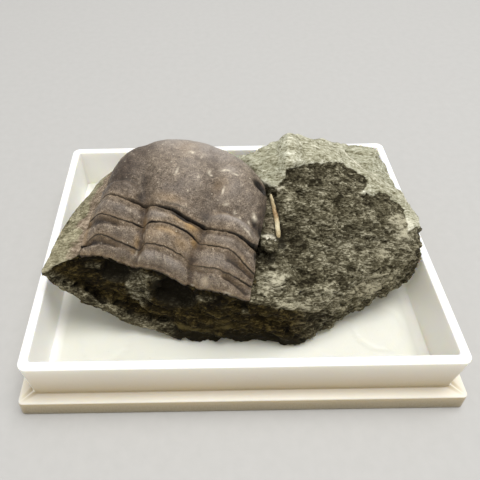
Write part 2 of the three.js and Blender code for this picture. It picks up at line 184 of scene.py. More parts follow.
# Depth of the rock below the fossil's surface, in general and at the broken edge of the last plate
COVER = 0.75
EDGE_COVER = 0.36
# Turn from the object's frame to one whose x runs along the streaks of the broken face
STREAK_TURN = np.array(Matrix.Rotation(-0.22, 3, "Z") @ Matrix.Rotation(0.3, 3, "Y"))
STREAK_SQUEEZE = (0.5, 1, 1)
# Bowl-shaped hollows in upper faces: centre, half sizes
BOWLS = [
    ((3.05, 0.2, 14.6), (0.5, 0.5, 0.6)),
    ((2.1, -5.9, 12.6), (0.9, 1, 1.9)),
    ((3, -6.6, 12.2), (1, 0.6, 1.6)),
    ((4.6, -5.3, 12.4), (0.5, 0.6, 1)),
]
# Hollows in the steep front face, under the broken edge of the last plate: centre, half sizes
FRONT_HOLLOWS = [
    ((-13, -6.6, 9.4), (1.6, 1.3, 1.4)),
    ((-7, -8.9, 8.2), (2.3, 2, 2)),
]
# Plan line of the upper edge of the front face, up to the end of the last plate
FRONT_EDGE = [
    (-20.8, -7.7), (-16.4, -6.4), (-13, -6.4), (-11.2, -6.7), (-8.2, -7.9), (-4.9, -8.9), (-2, -10.1),
    (1.2, -10.5),
]
# Grey bulge between the two hollows: centre, half sizes
FRONT_BULGE = ((-10.7, -7.6, 7.7), (1.3, 3, 2.1))
# Rusty line low on the front face
OCHRE_LINE = [(-6.6, -10.2, 4.1), (-4, -10.6, 3.9), (-1, -10.8, 4.6)]
# Round knob beside the head shield: centre, radius, and the side that has a white crust
KNOB = ((3, -5.25, 12.1), 0.88)
CRUST_SIDE = (0.1, 0.7, 0.71)
# Lump of stone that fills the gap between the head shield and the loose cheek: centre, radius
FILLED_GAP = ((3.75, 1.1, 14.45), 0.65)
# Flat broken face at the outer end of the left flank: a place on it and the direction that it looks in
FLANK_END = ((-18.3, -1.2, 12), (-0.943, 0.33, 0))
# Corners that stand out from the outline: place, reach, how far they stand out
CORNERS = [
    ((16.8, 7.8, 12.7), 1.7, (0.9, 0.8, 0.8)),
    ((19.4, -1, 10.6), 2, (0.5, 0, 0.2)),
]
PALE_FACETS = [
    [(0.2, 4.9), (6.9, 6.9), (5.7, 1.8), (5, 0.7), (4.3, 0.1), (2.6, 1.6), (0.6, 2.6)],
    [(6.4, 6.6), (8.6, 7.2), (12, 9), (16.2, 10), (19, 11.5), (20.6, 4), (20.4, -1.7), (18.6, -2.5),
     (18.8, -1.4), (18.9, 0.2), (18.6, 1), (16.8, 1.9), (15.1, 1), (13.7, 0.8), (15, 2.7), (13.5, 4.1),
     (11.7, 4.2), (9.2, 3.2), (6.9, 2.3), (5.7, 1.8)],
]
# Ridge between the two pale facets
FACET_RIDGE = [(6.3, 7.2), (6, 5.2), (5.65, 1.9)]
CALCITE_VEIN = [(13.1, 7.2), (13.5, 6.4), (14.3, 5.4), (15.2, 4.6), (16.6, 4.4)]
# Greyer parts of the pale facets: beside the head shield, and right of the white vein. Beside the head shield
# this is partly painted shade, for the facet that turns away from the light.
GREY_FACETS = [
    [(0, 5.2), (3.2, 7.5), (4.8, 6), (3.4, 3.6), (1, 2)],
    [(3.2, 7.5), *FACET_RIDGE, (4, 0), (1, 2)],
    [(13, 8.5), *CALCITE_VEIN[1:], (19.1, 3.2), (21, 5), (19, 11.5)],
]
# Lighter and darker places in the broken face: centre, radius, strength, which is below zero where darker.
# They are partly the stone's own patches and partly painted light and shade; the darker places below the pale
# facets' edge, beside the loose cheek and the knob and on the front face are painted shade.
LIGHT_AND_DARK_PLACES = [
    ((5.5, -0.9, 14.5), 0.5, 1), ((18, -1.6, 11), 0.9, 1), ((11.8, -4.9, 10.4), 1.1, 0.8),
    ((15.6, -4.7, 9.6), 0.9, 0.8), ((13.5, -6.1, 9.2), 0.8, 0.5), ((4.3, -7.9, 9.9), 0.9, 0.8),
    ((2.9, -9, 9.4), 1.1, 0.9), ((5.2, -9.9, 8.1), 1.1, 1), ((7, -10, 7.4), 0.9, 1),
    ((9.2, -8.8, 7.9), 1.2, 0.7), ((12.5, -8.3, 7.1), 1, 0.7), ((18.4, -3.3, 10.1), 1, 0.5),
    ((9, -1, 13.4), 1.5, 0.3), ((14.5, -8, 6.5), 1.6, 0.9), ((17.2, -6.5, 7.6), 1.6, 0.9),
    ((19.2, -2.5, 9.8), 1.2, 0.8), ((11, -9.4, 6), 1.4, 0.6), ((8.5, -5.5, 10.6), 1.5, 0.3),
    ((6.4, 1.2, 15.6), 1, -0.5), ((8.8, 1.1, 15.2), 1.1, -0.4), ((12.9, 2.9, 13.9), 0.8, -0.4),
    ((14.8, 0.2, 12.6), 0.8, -0.6), ((16.8, 0.9, 11.8), 0.6, -0.6), ((11, -0.5, 13.6), 0.8, -0.5),
    ((5.4, -3.9, 12.4), 1, -1), ((6.4, -5.1, 11.4), 1, -0.8), ((9, -3.8, 11.7), 0.9, -0.5),
    ((6.9, -7.9, 9.3), 0.9, -0.5), ((11.3, -7.9, 8.2), 0.7, -0.5), ((17, -5.6, 8.5), 0.8, -0.4),
    ((-2.8, -9.8, 9), 1, -0.8), ((-15.3, -6.6, 9.8), 1, -0.8),
]
# Thin pale ridge that leads up from the loose cheek
PALE_RIDGE = [(3.7, -0.6, 14.7), (4.2, -0.2, 14.9), (4.8, 0.1, 15.1), (5.4, 0.4, 15.4)]
# Part of the rock between the head shield and the loose cheek that is covered by a thin shell
SHELL_PATCH = [(2.6, 0.2), (3.5, -0.5), (4.1, -3), (4, -4.7), (2.6, -4.6), (2.2, -2)]
SLAB_EDGE = [
    (-20.6, -7.8, 10.5), (-19.6, -8, 9.5), (-17, -8.4, 7.3), (-14, -8.9, 4.7), (-11.9, -9.4, 3.5),
    (-9.6, -9.9, 3), (-7.9, -9.9, 3.1),
]
BEDDING_CRACK = [
    (-20.3, -7.8, 10.8), (-18.9, -7.5, 9.1), (-17.1, -7.1, 7.8), (-15.6, -7.3, 6.6), (-14.7, -7.9, 6),
    (-12.9, -7.7, 5.1), (-12.1, -8.2, 4.4), (-10.8, -8.8, 3.6), (-9.4, -9, 3.6), (-7.9, -9, 3.7),
]


def bell(t):
    return np.exp(-t * t)


def smooth_step(low, high, value):
    t = np.clip((value - low) / (high - low), 0, 1)
    return t * t * (3 - 2 * t)


def monotone(xs, ys):
    """Smooth curve through the given places that never overshoots them."""
    xs, ys = np.asarray(xs, float), np.asarray(ys, float)
    step = np.diff(xs)
    rise = np.diff(ys) / step
    product = rise[:-1] * rise[1:]
    total = np.where(product > 0, rise[:-1] + rise[1:], 1)
    slope = np.concatenate([rise[:1], np.where(product > 0, 2 * product / total, 0), rise[-1:]])

    def curve(x):
        i = np.clip(np.searchsorted(xs, x, side="right") - 1, 0, len(xs) - 2)
        t = (x - xs[i]) / step[i]
        start = (1 + 2 * t) * (1 - t) ** 2 * ys[i] + t * (1 - t) ** 2 * step[i] * slope[i]
        return start + t * t * (3 - 2 * t) * ys[i + 1] + t * t * (t - 1) * step[i] * slope[i + 1]

    return curve


def smooth_path(path, s):
    """Coordinates on a smooth curve through a path's points, for shares of its length from 0 to 1."""
    knots = np.linspace(0, 1, len(path))
    return [monotone(knots, values)(s) for values in zip(*path)]


def waves(points, size, seed, octaves=1):
    """Smooth noise, about -1 to 1, with features of the given size."""
    shift = Vector((seed * 17.3, seed * 5.1, seed * 9.7))
    places = (Vector(p) + shift for p in (points / size).tolist())
    if octaves == 1:
        return np.array([noise.noise(p) for p in places])
    return np.array([noise.fractal(p, 1.0, 2.0, octaves) for p in places])


def hashed(cells, seed):
    """A repeatable number from 0 to 1 for each whole-number cell."""
    raw = np.sin(cells @ np.array([12.9898, 78.233, 37.719]) + 4.1 * seed) * 43758.5453
    return raw - np.floor(raw)


def chipped(points, size, seed):
    """Relief of small flat facets: each point follows the leaning plane of its nearest cell."""
    scaled = points / size
    corner = np.floor(scaled)
    nearest = np.full(len(points), np.inf)
    relief = np.zeros(len(points))
    for step in itertools.product((-1, 0, 1), repeat=3):
        cell = corner + step
        offset = scaled - cell - np.stack([hashed(cell, seed + k) for k in range(3)], 1)
        distance = (offset ** 2).sum(1)
        lean = np.stack([hashed(cell, seed + 3 + k) for k in range(3)], 1) * 2 - 1
        height = (offset * lean).sum(1) + hashed(cell, seed + 6) - 0.5
        relief = np.where(distance < nearest, height, relief)
        nearest = np.minimum(nearest, distance)
    return relief


def away(points, centre, size=1):
    """Distance of each point from a centre, in units of the given size."""
    return np.linalg.norm((points - centre) / size, axis=1)


def distance_to_path(points, path):
    """Distance from each point to a path of straight stretches, in any number of dimensions."""
    path = np.asarray(path, float)
    nearest = np.full(len(points), np.inf)
    for start, end in zip(path[:-1], path[1:]):
        along = end - start
        t = np.clip((points - start) @ along / (along @ along), 0, 1)
        nearest = np.minimum(nearest, np.linalg.norm(points - start - t[:, None] * along, axis=1))
    return nearest


def inside_polygon(points, polygon, soft):
    """1 inside a plan polygon, 0 outside, with a soft border."""
    corners = np.asarray(polygon, float)
    inside = np.zeros(len(points), bool)
    x, y = points[:, 0], points[:, 1]
    for (ax, ay), (bx, by) in zip(corners, np.roll(corners, -1, 0)):
        crosses = (ay > y) != (by > y)
        inside ^= crosses & (x < (bx - ax) * (y - ay) / (by - ay + 1e-12) + ax)
    edge = distance_to_path(points[:, :2], np.vstack([corners, corners[:1]]))
    return smooth_step(-soft, soft, np.where(inside, edge, -edge))


def relaxed(points, edges, rounds):
    """Each round moves every point halfway to the mean of its neighbours."""
    count = len(points)
    ends = np.bincount(edges.ravel(), minlength=count)[:, None]
    for _ in range(rounds):
        total = np.stack([
            np.bincount(edges[:, 0], points[edges[:, 1], axis], count)
            + np.bincount(edges[:, 1], points[edges[:, 0], axis], count)
            for axis in range(3)
        ], 1)
        points = (points + total / ends) / 2
    return points


def in_frame(points):
    """From the trilobite's own frame to the object's."""
    return points @ BODY_TURN.T + BODY_ORIGIN


def unit_grid(rows, columns):
    return np.meshgrid(np.linspace(0, 1, rows), np.linspace(0, 1, columns), indexing="ij")


def listed(*coordinates):
    """Grids of coordinates as one list of places."""
    return np.stack(coordinates, -1).reshape(-1, 3)


def sheet_faces(rows, columns):
    """Faces of a closed body between two grids of places, the upper grid first."""
    upper = np.arange(rows * columns).reshape(rows, columns)
    lower = upper + rows * columns

    def quads(a, b, c, d):
        return np.stack([a.ravel(), b.ravel(), c.ravel(), d.ravel()], 1)

    return np.concatenate([
        quads(upper[:-1, :-1], upper[1:, :-1], upper[1:, 1:], upper[:-1, 1:]),
        quads(lower[:-1, :-1], lower[:-1, 1:], lower[1:, 1:], lower[1:, :-1]),
        quads(upper[1:, 0], upper[:-1, 0], lower[:-1, 0], lower[1:, 0]),
        quads(upper[:-1, -1], upper[1:, -1], lower[1:, -1], lower[:-1, -1]),
        quads(upper[0, :-1], upper[0, 1:], lower[0, 1:], lower[0, :-1]),
        quads(upper[-1, 1:], upper[-1, :-1], lower[-1, :-1], lower[-1, 1:]),
    ])


def new_mesh(name, points, faces):
    mesh = bpy.data.meshes.new(name)
    mesh.from_pydata(points.tolist(), [], faces.tolist() if isinstance(faces, np.ndarray) else faces)
    mesh.update()
    return mesh


def mark(mesh, name, values):
    """Stores one number for each point, which the mesh's material reads by name."""
    layer = mesh.attributes.new(name=name, type="FLOAT", domain="POINT")
    layer.data.foreach_set("value", np.asarray(values, np.float32))


def numbers(items, name, width, kind=float):
    """One property of all the given items of a mesh, a row for each."""
    values = np.zeros(len(items) * width, kind)
    items.foreach_get(name, values)
    return values.reshape(-1, width)


def mesh_points(mesh):
    return numbers(mesh.vertices, "co", 3)


def set_points(mesh, points):
    """Moves a mesh's points and gives the normals that they then have."""
    mesh.vertices.foreach_set("co", points.ravel())
    mesh.update()
    return numbers(mesh.vertex_normals, "vector", 3)


def linked(name, data):
    """A new object in the scene."""
    made = bpy.data.objects.new(name, data)
    bpy.context.scene.collection.objects.link(made)
    return made


def add_piece(mesh, node, material):
    """Scales a finished mesh to metres and puts it in the place of one node of the frame."""
    made = bmesh.new()
    made.from_mesh(mesh)
    bmesh.ops.remove_doubles(made, verts=made.verts, dist=JOIN_DISTANCE)
    bmesh.ops.scale(made, vec=(MM, MM, MM), verts=made.verts)
    made.to_mesh(mesh)
    made.free()
    mesh.shade_smooth()
    mesh.materials.append(material)
    piece = linked(mesh.name, mesh)
    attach(piece, "root")
    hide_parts(node)


# Materials

class Surface:
    """A new material, with short calls for the nodes that it is made of."""

    def __init__(self, name):
        self.material = bpy.data.materials.new(name)
        self.material.use_nodes = True
        self.tree = self.material.node_tree
        self.shader = self.tree.nodes["Principled BSDF"]

    def put(self, node, inputs):
        """Sets a node's inputs. A word stands for the mark that the mesh holds under that name."""
        for name, value in inputs.items():
            if isinstance(value, str):
                value = self.node("ShaderNodeAttribute", {}, attribute_name=value).outputs["Fac"]
            if isinstance(value, bpy.types.NodeSocket):
                self.tree.links.new(value, node.inputs[name])
            elif node.inputs[name].type == "RGBA":
                node.inputs[name].default_value = (*value, 1)
            else:
                node.inputs[name].default_value = value

    def node(self, kind, inputs, **settings):
        made = self.tree.nodes.new(kind)
        for name, value in settings.items():
            setattr(made, name, value)
        self.put(made, inputs)
        return made

    def place(self, stretch=(1, 1, 1), turn=(0, 0, 0)):
        """Place on the object in millimetres, scaled by stretch and then turned."""
        place = self.node("ShaderNodeTexCoord", {}).outputs["Object"]
        scale = tuple(part / MM for part in stretch)
        return self.node("ShaderNodeMapping", {"Vector": place, "Rotation": turn, "Scale": scale}).outputs[0]

    def noise(self, place, size, detail=3, roughness=0.5):
        inputs = {"Vector": place, "Scale": 1 / size, "Detail": detail, "Roughness": roughness}
        return self.node("ShaderNodeTexNoise", inputs).outputs[0]

    def cells(self, place, size):
        """Random cells: a number for each one, and the distance to its middle."""
        made = self.node("ShaderNodeTexVoronoi", {"Vector": place, "Scale": 1 / size})
        number = self.node("ShaderNodeSeparateColor", {"Color": made.outputs["Color"]}).outputs[0]
        return number, made.outputs["Distance"]

    def spread(self, value, low, high, to_low=0.0, to_high=1.0):
        """Maps a stretch of values smoothly onto another."""
        inputs = {"Value": value, "From Min": low, "From Max": high, "To Min": to_low, "To Max": to_high}
        return self.node("ShaderNodeMapRange", inputs, interpolation_type="SMOOTHSTEP").outputs[0]

    def total(self, start, *terms):
        """A first number plus each value times its weight."""
        for value, weight in terms:
            inputs = {0: value, 1: weight, 2: start}
            start = self.node("ShaderNodeMath", inputs, operation="MULTIPLY_ADD").outputs[0]
        return start

    def times(self, first, second):
        return self.total(0.0, (first, second))

    def ramp(self, value, *stops):
        made = self.node("ShaderNodeValToRGB", {"Fac": value})
        elements = made.color_ramp.elements
        while len(elements) < len(stops):
            elements.new(0.5)
        for element, (place, color) in zip(elements, stops):
            element.position = place
            element.color = (*color, 1)
        return made.outputs[0]

    def layers(self, color, *layers):
        """Lays colours over a first one, each by its share."""
        for share, over, *kind in layers:
            inputs = {0: share, 6: color, 7: over}
            blend_type = kind[0] if kind else "MIX"
            color = self.node("ShaderNodeMix", inputs, data_type="RGBA", blend_type=blend_type).outputs[2]
        return color

    def finished(self, color, roughness, specular, *bumps):
        """Joins all to the shader. Each bump is a height, a depth in millimetres and a strength."""
        self.put(self.shader, {"Base Color": color, "Roughness": roughness, "Specular IOR Level": specular})
        before = {}
        for height, depth, strength in bumps:
            inputs = {"Height": height, "Distance": depth * MM, "Strength": strength, **before}
            before = {"Normal": self.node("ShaderNodeBump", inputs).outputs[0]}
        self.put(self.shader, before)
        return self.material


def rock_material():
    look = Surface("grainy_stone")
    streaked = look.place(stretch=(0.6, 1.4, 1.4), turn=(0, 0.3, 0.22))
    bedded = look.place(stretch=(0.25, 1.6, 1.6), turn=(0, 0.2, 0.1))
    coarse = look.noise(look.place(), 4.5, 2)
    mottle = look.noise(streaked, 1.0, 5, 0.7)
    grain = look.noise(streaked, 0.19, 3, 0.7)
    flake, _ = look.cells(streaked, 0.22)
    # The relief_shade mark adds painted light on raised grains and painted shade in hollows
    tone = look.total(-0.2, (mottle, 0.45), (grain, 0.4), (flake, 0.14), ("relief_shade", 0.12), ("light", 0.26))
    dull = look.ramp(
        tone, (0.36, (0.014, 0.011, 0.005)), (0.45, (0.055, 0.048, 0.028)), (0.53, (0.14, 0.127, 0.083)),
        (0.66, (0.48, 0.455, 0.34)),
    )
    pale = look.ramp(
        look.total(-0.15, (tone, 1.0), (look.noise(bedded, 0.5), 0.3)),
        (0.34, (0.13, 0.12, 0.07)), (0.45, (0.35, 0.34, 0.245)), (0.53, (0.51, 0.505, 0.395)),
        (0.66, (0.84, 0.83, 0.7)),
    )
    slope = look.ramp(
        tone, (0.38, (0.1, 0.09, 0.05)), (0.5, (0.245, 0.225, 0.145)), (0.64, (0.5, 0.47, 0.33)),
    )
    shell = look.ramp(
        tone, (0.38, (0.1, 0.075, 0.05)), (0.5, (0.23, 0.18, 0.13)), (0.64, (0.46, 0.38, 0.29)),
    )

    def share(name, low, high):
        """How far one mark covers the stone, with a mottled border."""
        return look.spread(look.total(-0.4, (name, 1.0), (mottle, 0.8)), low, high)

    stain = look.times("stain", look.spread(mottle, 0.35, 0.6))
    color = look.layers(
        dull,
        (share("pale", 0.4, 0.6), pale),
        # greyer tone on parts of the pale facets, beside the head shield partly painted shade
        (share("grey", 0.2, 0.9), (0.5, 0.53, 0.48), "MULTIPLY"),
        (look.spread(coarse, 0.3, 0.7, 0.0, 0.45), (0.62, 0.6, 0.52), "MULTIPLY"),
        # painted shade on the steep and front faces, with the front face's own darker rock
        ("shade", (0.24, 0.19, 0.08), "MULTIPLY"),
        (stain, (0.12, 0.095, 0.035)),
        ("flank", slope),
        (share("shell", 0.25, 0.8), shell),
        ("vein", (0.85, 0.81, 0.66)),
        # painted shade: near black in the cracks and hollows, under the fossil and the knob
        ("dark", (0.01, 0.008, 0.004)),
    )
    roughness = look.spread(flake, 0.8, 1.0, 0.88, 0.5)
    return look.finished(color, roughness, 0.12, (mottle, 0.12, 0.8), (grain, 0.1, 1.0), (flake, 0.03, 0.5))


def shell_material():
    look = Surface("fossil_shell_stone")
    place = look.place()
    patches = look.noise(place, 3.2, 3, 0.6)
    mottle = look.noise(place, 0.7, 4, 0.65)
    grain = look.noise(place, 0.14, 3, 0.75)
    ground = look.ramp(
        look.total(0.0, (mottle, 0.4), (grain, 0.6)),
        (0.34, (0.045, 0.033, 0.022)), (0.45, (0.143, 0.11, 0.079)), (0.54, (0.237, 0.189, 0.141)),
        (0.68, (0.6, 0.51, 0.39)),
    )
    number, distance = look.cells(place, 0.3)
    specks = look.times(look.spread(number, 0.965, 0.98), look.spread(distance, 0.1, 0.32, 1.0, 0.0))
    stain = look.times("stain", look.spread(mottle, 0.2, 0.6, 0.55, 1.0))
    color = look.layers(
        ground,
        (look.spread(patches, 0.5, 0.72, 0, 0.3), (0.2, 0.175, 0.165)),
        # pale spots: painted highlights, partly a lavender-grey tone
        (look.times("pale", 0.55), (0.42, 0.385, 0.36)),
        # painted shade in the low places and painted light on the raised ones
        (look.spread("relief_shade", 0.0, 0.5, 0.75, 0.0), (0.42, 0.35, 0.29), "MULTIPLY"),
        (look.spread("relief_shade", 0.55, 1.0, 0.0, 0.5), (0.5, 0.43, 0.36)),
        (stain, (0.5, 0.32, 0.13)),
        (look.spread(grain, 0.34, 0.46, 0.6, 0.0), (0.42, 0.37, 0.33), "MULTIPLY"),
        # painted shade in the furrows and on the sides that slope away from the light
        ("painted_shade", (0.34, 0.3, 0.28), "MULTIPLY"),
        (specks, (0.62, 0.55, 0.44)),
        ("glint", (0.78, 0.7, 0.56)),
        # painted shade: near black in the cracks, pits and grooves, and on the plates' under sides
        (look.spread("dark", 0.0, 0.85), (0.012, 0.008, 0.005)),
    )
    roughness = look.spread(mottle, 0.3, 0.7, 0.55, 0.36)
    return look.finished(color, roughness, 0.5, (mottle, 0.16, 1.0), (grain, 0.1, 1.0))


def sliver_material():
    look = Surface("tan_shell_section")
    lines = look.noise(look.place(stretch=(4, 0.8, 4)), 0.5, 4, 0.6)
    color = look.layers(
        look.ramp(lines, (0.3, (0.16, 0.11, 0.045)), (0.5, (0.4, 0.31, 0.16)), (0.7, (0.62, 0.53, 0.33))),
        ("rusty", (0.74, 0.6, 0.52), "MULTIPLY"),
        (look.times("cream", 0.6), (0.8, 0.74, 0.52)),
    )
    return look.finished(color, look.spread(lines, 0.3, 0.7, 0.65, 0.45), 0.5, (lines, 0.05, 0.7))


def tray_material():
    look = Surface("white_moulded_plastic")
    place = look.place()
    fine = look.noise(place, 0.35, 3, 0.6)
    scratches = look.noise(look.place(stretch=(3.5, 0.15, 1), turn=(0, 0, 0.15)), 0.4, 2)
    color = look.layers(
        (0.97, 0.96, 0.91),
        (look.spread(look.noise(place, 9, 2), 0.3, 0.7), (0.94, 0.93, 0.88)),
        (look.spread(look.noise(place, 0.22, 2, 0.4), 0.74, 0.82, 0.0, 0.35), (0.45, 0.43, 0.36)),
        # painted shade: the floor inside the tray is made greyer
        ("thin", (0.72, 0.73, 0.7), "MULTIPLY"),
        # painted shade: the outer walls darker and warmer
        ("outer", (0.5, 0.42, 0.28), "MULTIPLY"),
    )
    look.put(look.shader, {
        "Subsurface Weight": 0.6, "Subsurface Radius": (1.0, 0.85, 0.55), "Subsurface Scale": 0.0016,
    })
    roughness = look.spread(scratches, 0.35, 0.75, 0.3, 0.48)
    return look.finished(color, roughness, 0.5, (fine, 0.01, 0.4), (scratches, 0.012, 0.4))


def floor_material():
    look = Surface("pale_table")
    speckle = look.noise(look.place(), 1.2)
    return look.finished(look.layers((0.42, 0.42, 0.415), (speckle, (0.46, 0.46, 0.455))), 0.7, 0.5)


# Head shield and thorax plates

KNOTS = RIBS[0, :, 0]
rib_curves = [[monotone(KNOTS, row[:, axis]) for axis in range(3)] for row in RIBS]
crack_curves = [monotone(*zip(*line)) for line in CRACKS]


def ragged(x, seed):
    """Small wander of a broken edge."""
    line = np.stack([x.ravel(), np.full(x.size, seed), np.zeros(x.size)], 1)
    return (0.07 * waves(line, 0.45, seed, 3)).reshape(x.shape)


def crack_opening(line, x):
    """How far a crack stands open: 0 where the plates are pressed together, 1 where it is wide."""
    return smooth_step(-0.01, 0.08, crack_curves[line](x))


def dome_height(x, y):
    across = np.where(x < 0, x / HEAD_LEFT, x / HEAD_RIGHT)
    ahead = np.maximum(0, y - HEAD_CREST_Y) / (HEAD_LENGTH - HEAD_CREST_Y)
    behind = np.maximum(0, HEAD_CREST_Y - y) / HEAD_CREST_Y
    drop = HEAD_DROP * np.hypot(across, ahead) ** HEAD_DROP_POWER
    return HEAD_CREST - drop - HEAD_BACK_FALL * behind ** HEAD_BACK_POWER


def head_furrows(x, y):
    """Furrows beside the middle lobe, the border furrow and the ridge behind it."""
    fade = np.maximum(0, 1 - y / FURROW_LENGTH) ** 1.1
    left = bell((x - LEFT_FURROW[0] - LEFT_FURROW[1] * y) / FURROW_WIDTH)
    right = bell((x - RIGHT_FURROW[0] - RIGHT_FURROW[1] * y) / FURROW_WIDTH)
    tilt = 0.05 * np.maximum(0, x) * np.maximum(0, 1 - y / HEAD_CREST_Y)
    border = smooth_step(3.2, 4.4, np.abs(x))
    line = np.where(x < 0, 1.55 + 0.03 * (x + 6) ** 2, 1.05)
    groove = border * (0.34 * bell((y - line) / 0.4) - 0.2 * bell((y - line + 0.75) / 0.4))
    return -FURROW_DEPTH * (left + right) * fade - tilt - groove


def head_relief(x, y):
    """The furrows, and the back border that rises to just above the first thorax plate."""
    back = rib_curves[0][1](x)
    edge = dome_height(x, back) + head_furrows(x, back)
    rise = np.maximum(0, rib_curves[0][2](x) + BORDER_STEP - edge)
    return head_furrows(x, y) + rise * bell(np.maximum(0, y - back) / BORDER_WIDTH)


def head_plan(s, t, grow=0, back_gap=None):
    """Plan place on the head shield: s runs across from the left, t from the back edge to the front."""
    angle = (s - 0.5) * np.pi
    half = np.where(angle < 0, HEAD_LEFT, HEAD_RIGHT) + grow
    edge_x = half * np.sin(angle)
    start_x = (edge_x + half * (2 * s - 1)) / 2

    def back(x):
        gap = crack_curves[0](x) + ragged(x, 3) if back_gap is None else back_gap
        return rib_curves[0][1](x) + gap

    reach = np.maximum(0, np.cos(angle)) ** HEAD_OUTLINE_POWER
    edge_y = np.maximum((HEAD_LENGTH + grow) * reach, back(edge_x))
    share = 1 - (1 - t) ** 1.35
    return start_x + (edge_x - start_x) * share, back(start_x) + (edge_y - back(start_x)) * share


def thorax_place(s, line):
    """Place on the thorax: s runs across from 0 to 1, line from the first cross line, 0, to the last, 3."""
    knot = KNOTS[0] + TIP_TO_TIP * s
    i = np.minimum(PLATES - 1, np.floor(line)).astype(int)
    f = line - i
    parts = []
    for axis in range(3):
        rows = np.stack([curves[axis](knot) for curves in rib_curves])
        low = np.take_along_axis(rows, i[None], 0)[0]
        high = np.take_along_axis(rows, i[None] + 1, 0)[0]
        parts.append(low * (1 - f) + high * f)
    shell = RIB_SHELL[i] * (1 - f) + RIB_SHELL[i + 1] * f
    return (*parts, shell)


# Soft spots on the head shield: x, y, half width, half length, strength, or depth for a pit
HEAD_SPOTS = {
    "pit": [
        (7.7, 5.2, 0.6, 0.5, 1.1), (8.15, 1.45, 0.35, 0.3, 0.25), (8.8, 1.5, 0.25, 0.35, 0.4),
        (8.6, 4.2, 0.1, 0.5, 0.15),
    ],
    "glint": [
        (-0.2, 6.3, 0.32, 0.2, 1.2), (3.9, 4.95, 0.5, 0.13, 1), (2.3, 4.4, 0.16, 0.3, 0.9),
        (2.6, 4.2, 0.14, 0.14, 0.8), (-0.76, 3.2, 0.1, 0.4, 0.8), (1.5, 3.2, 0.1, 0.2, 0.6),
        (4.3, 2.5, 0.1, 0.4, 0.9), (4.9, 1.5, 0.3, 0.1, 0.7), (7.9, 1.75, 0.26, 0.22, 1.2),
        (7.6, 5.25, 0.4, 0.06, 0.9), (5.95, 1.15, 0.1, 0.16, 0.8), (7.6, 0, 0.5, 0.09, 1),
        (-0.4, 7.4, 0.3, 0.14, 0.5), (6.6, 0.9, 0.12, 0.12, 0.7), (-1.7, 4.3, 0.1, 0.25, 0.5),
        (1, 6, 0.1, 0.25, 0.6), (5, 4.7, 0.3, 0.1, 0.8), (7.5, 1.1, 0.12, 0.12, 0.8),
        (-2.6, 6.9, 0.2, 0.1, 0.5),
    ],
    "stain": [
        (-0.6, 0.5, 1.6, 0.5, 0.25), (3.9, 3.1, 0.9, 0.8, 0.18), (-0.8, 7.2, 1.4, 1.2, 0.16),
        (5, 0.8, 1, 0.25, 0.15),
    ],
    # Painted highlights on the top, the middle and the right of the head shield and on its back border,
    # partly a lavender-grey tone
    "pale": [
        (3, 7.2, 1.6, 1.4, 0.8), (4.4, 5.2, 1.2, 0.9, 0.6), (1.2, 3.2, 1.2, 1.2, 0.35),
        (6.3, 0.35, 2.6, 0.35, 1), (-0.3, 8.3, 5.2, 2.3, 1.3), (0, 5, 1.5, 1.5, 0.4),
        (5, 3, 1, 1, 0.4),
    ],
    # Painted shade in the furrows, the pits, along the back crack and at the right margin
    "dark": [
        (3.2, 0.3, 0.8, 0.5, 0.45), (3.1, 1.4, 0.6, 0.9, 0.2), (-3.7, 0.5, 0.5, 0.5, 0.45),
        (-3.9, 1.8, 0.5, 1, 0.3), (-5.8, 1.6, 1.5, 0.2, 0.45), (5.3, 1, 0.9, 0.14, 0.45),
        (8.1, 1.35, 0.35, 0.3, 0.7), (0.3, 0.05, 2.6, 0.12, 0.5), (7.65, 5.25, 0.65, 0.5, 2.2),
        (8.8, 1.4, 0.3, 0.3, 0.9), (8.75, 3.4, 0.16, 1.6, 0.5),
    ],
    # Painted shade in the furrows and over the left cheek, which slopes away from the light
    "painted_shade": [
        (-3.5, 0.6, 0.8, 1, 0.9), (-3.9, 1.9, 0.75, 1.2, 0.8), (-4.4, 3.4, 0.75, 1.4, 0.55),
        (-4.6, 5.2, 0.8, 1.5, 0.35), (3.2, 0.7, 0.9, 1, 0.6), (2.95, 2.2, 0.75, 1.3, 0.6),
        (2.6, 4, 0.6, 1.5, 0.65), (2.3, 5.8, 0.6, 1.4, 0.5), (-6.5, 2.8, 2.6, 2.6, 1.1),
        (-6, 5.6, 2, 2.2, 0.9), (-6.5, 0.7, 2.4, 0.8, 0.9), (-0.3, 1.5, 2.6, 1.6, 0.35),
        (6.6, 2.6, 1.6, 1.8, 0.3), (-5.6, 1.55, 1.7, 0.35, 0.85), (5.4, 1, 1.2, 0.25, 0.7),
        (8.5, 2.6, 0.7, 2.6, 0.9),
    ],
}
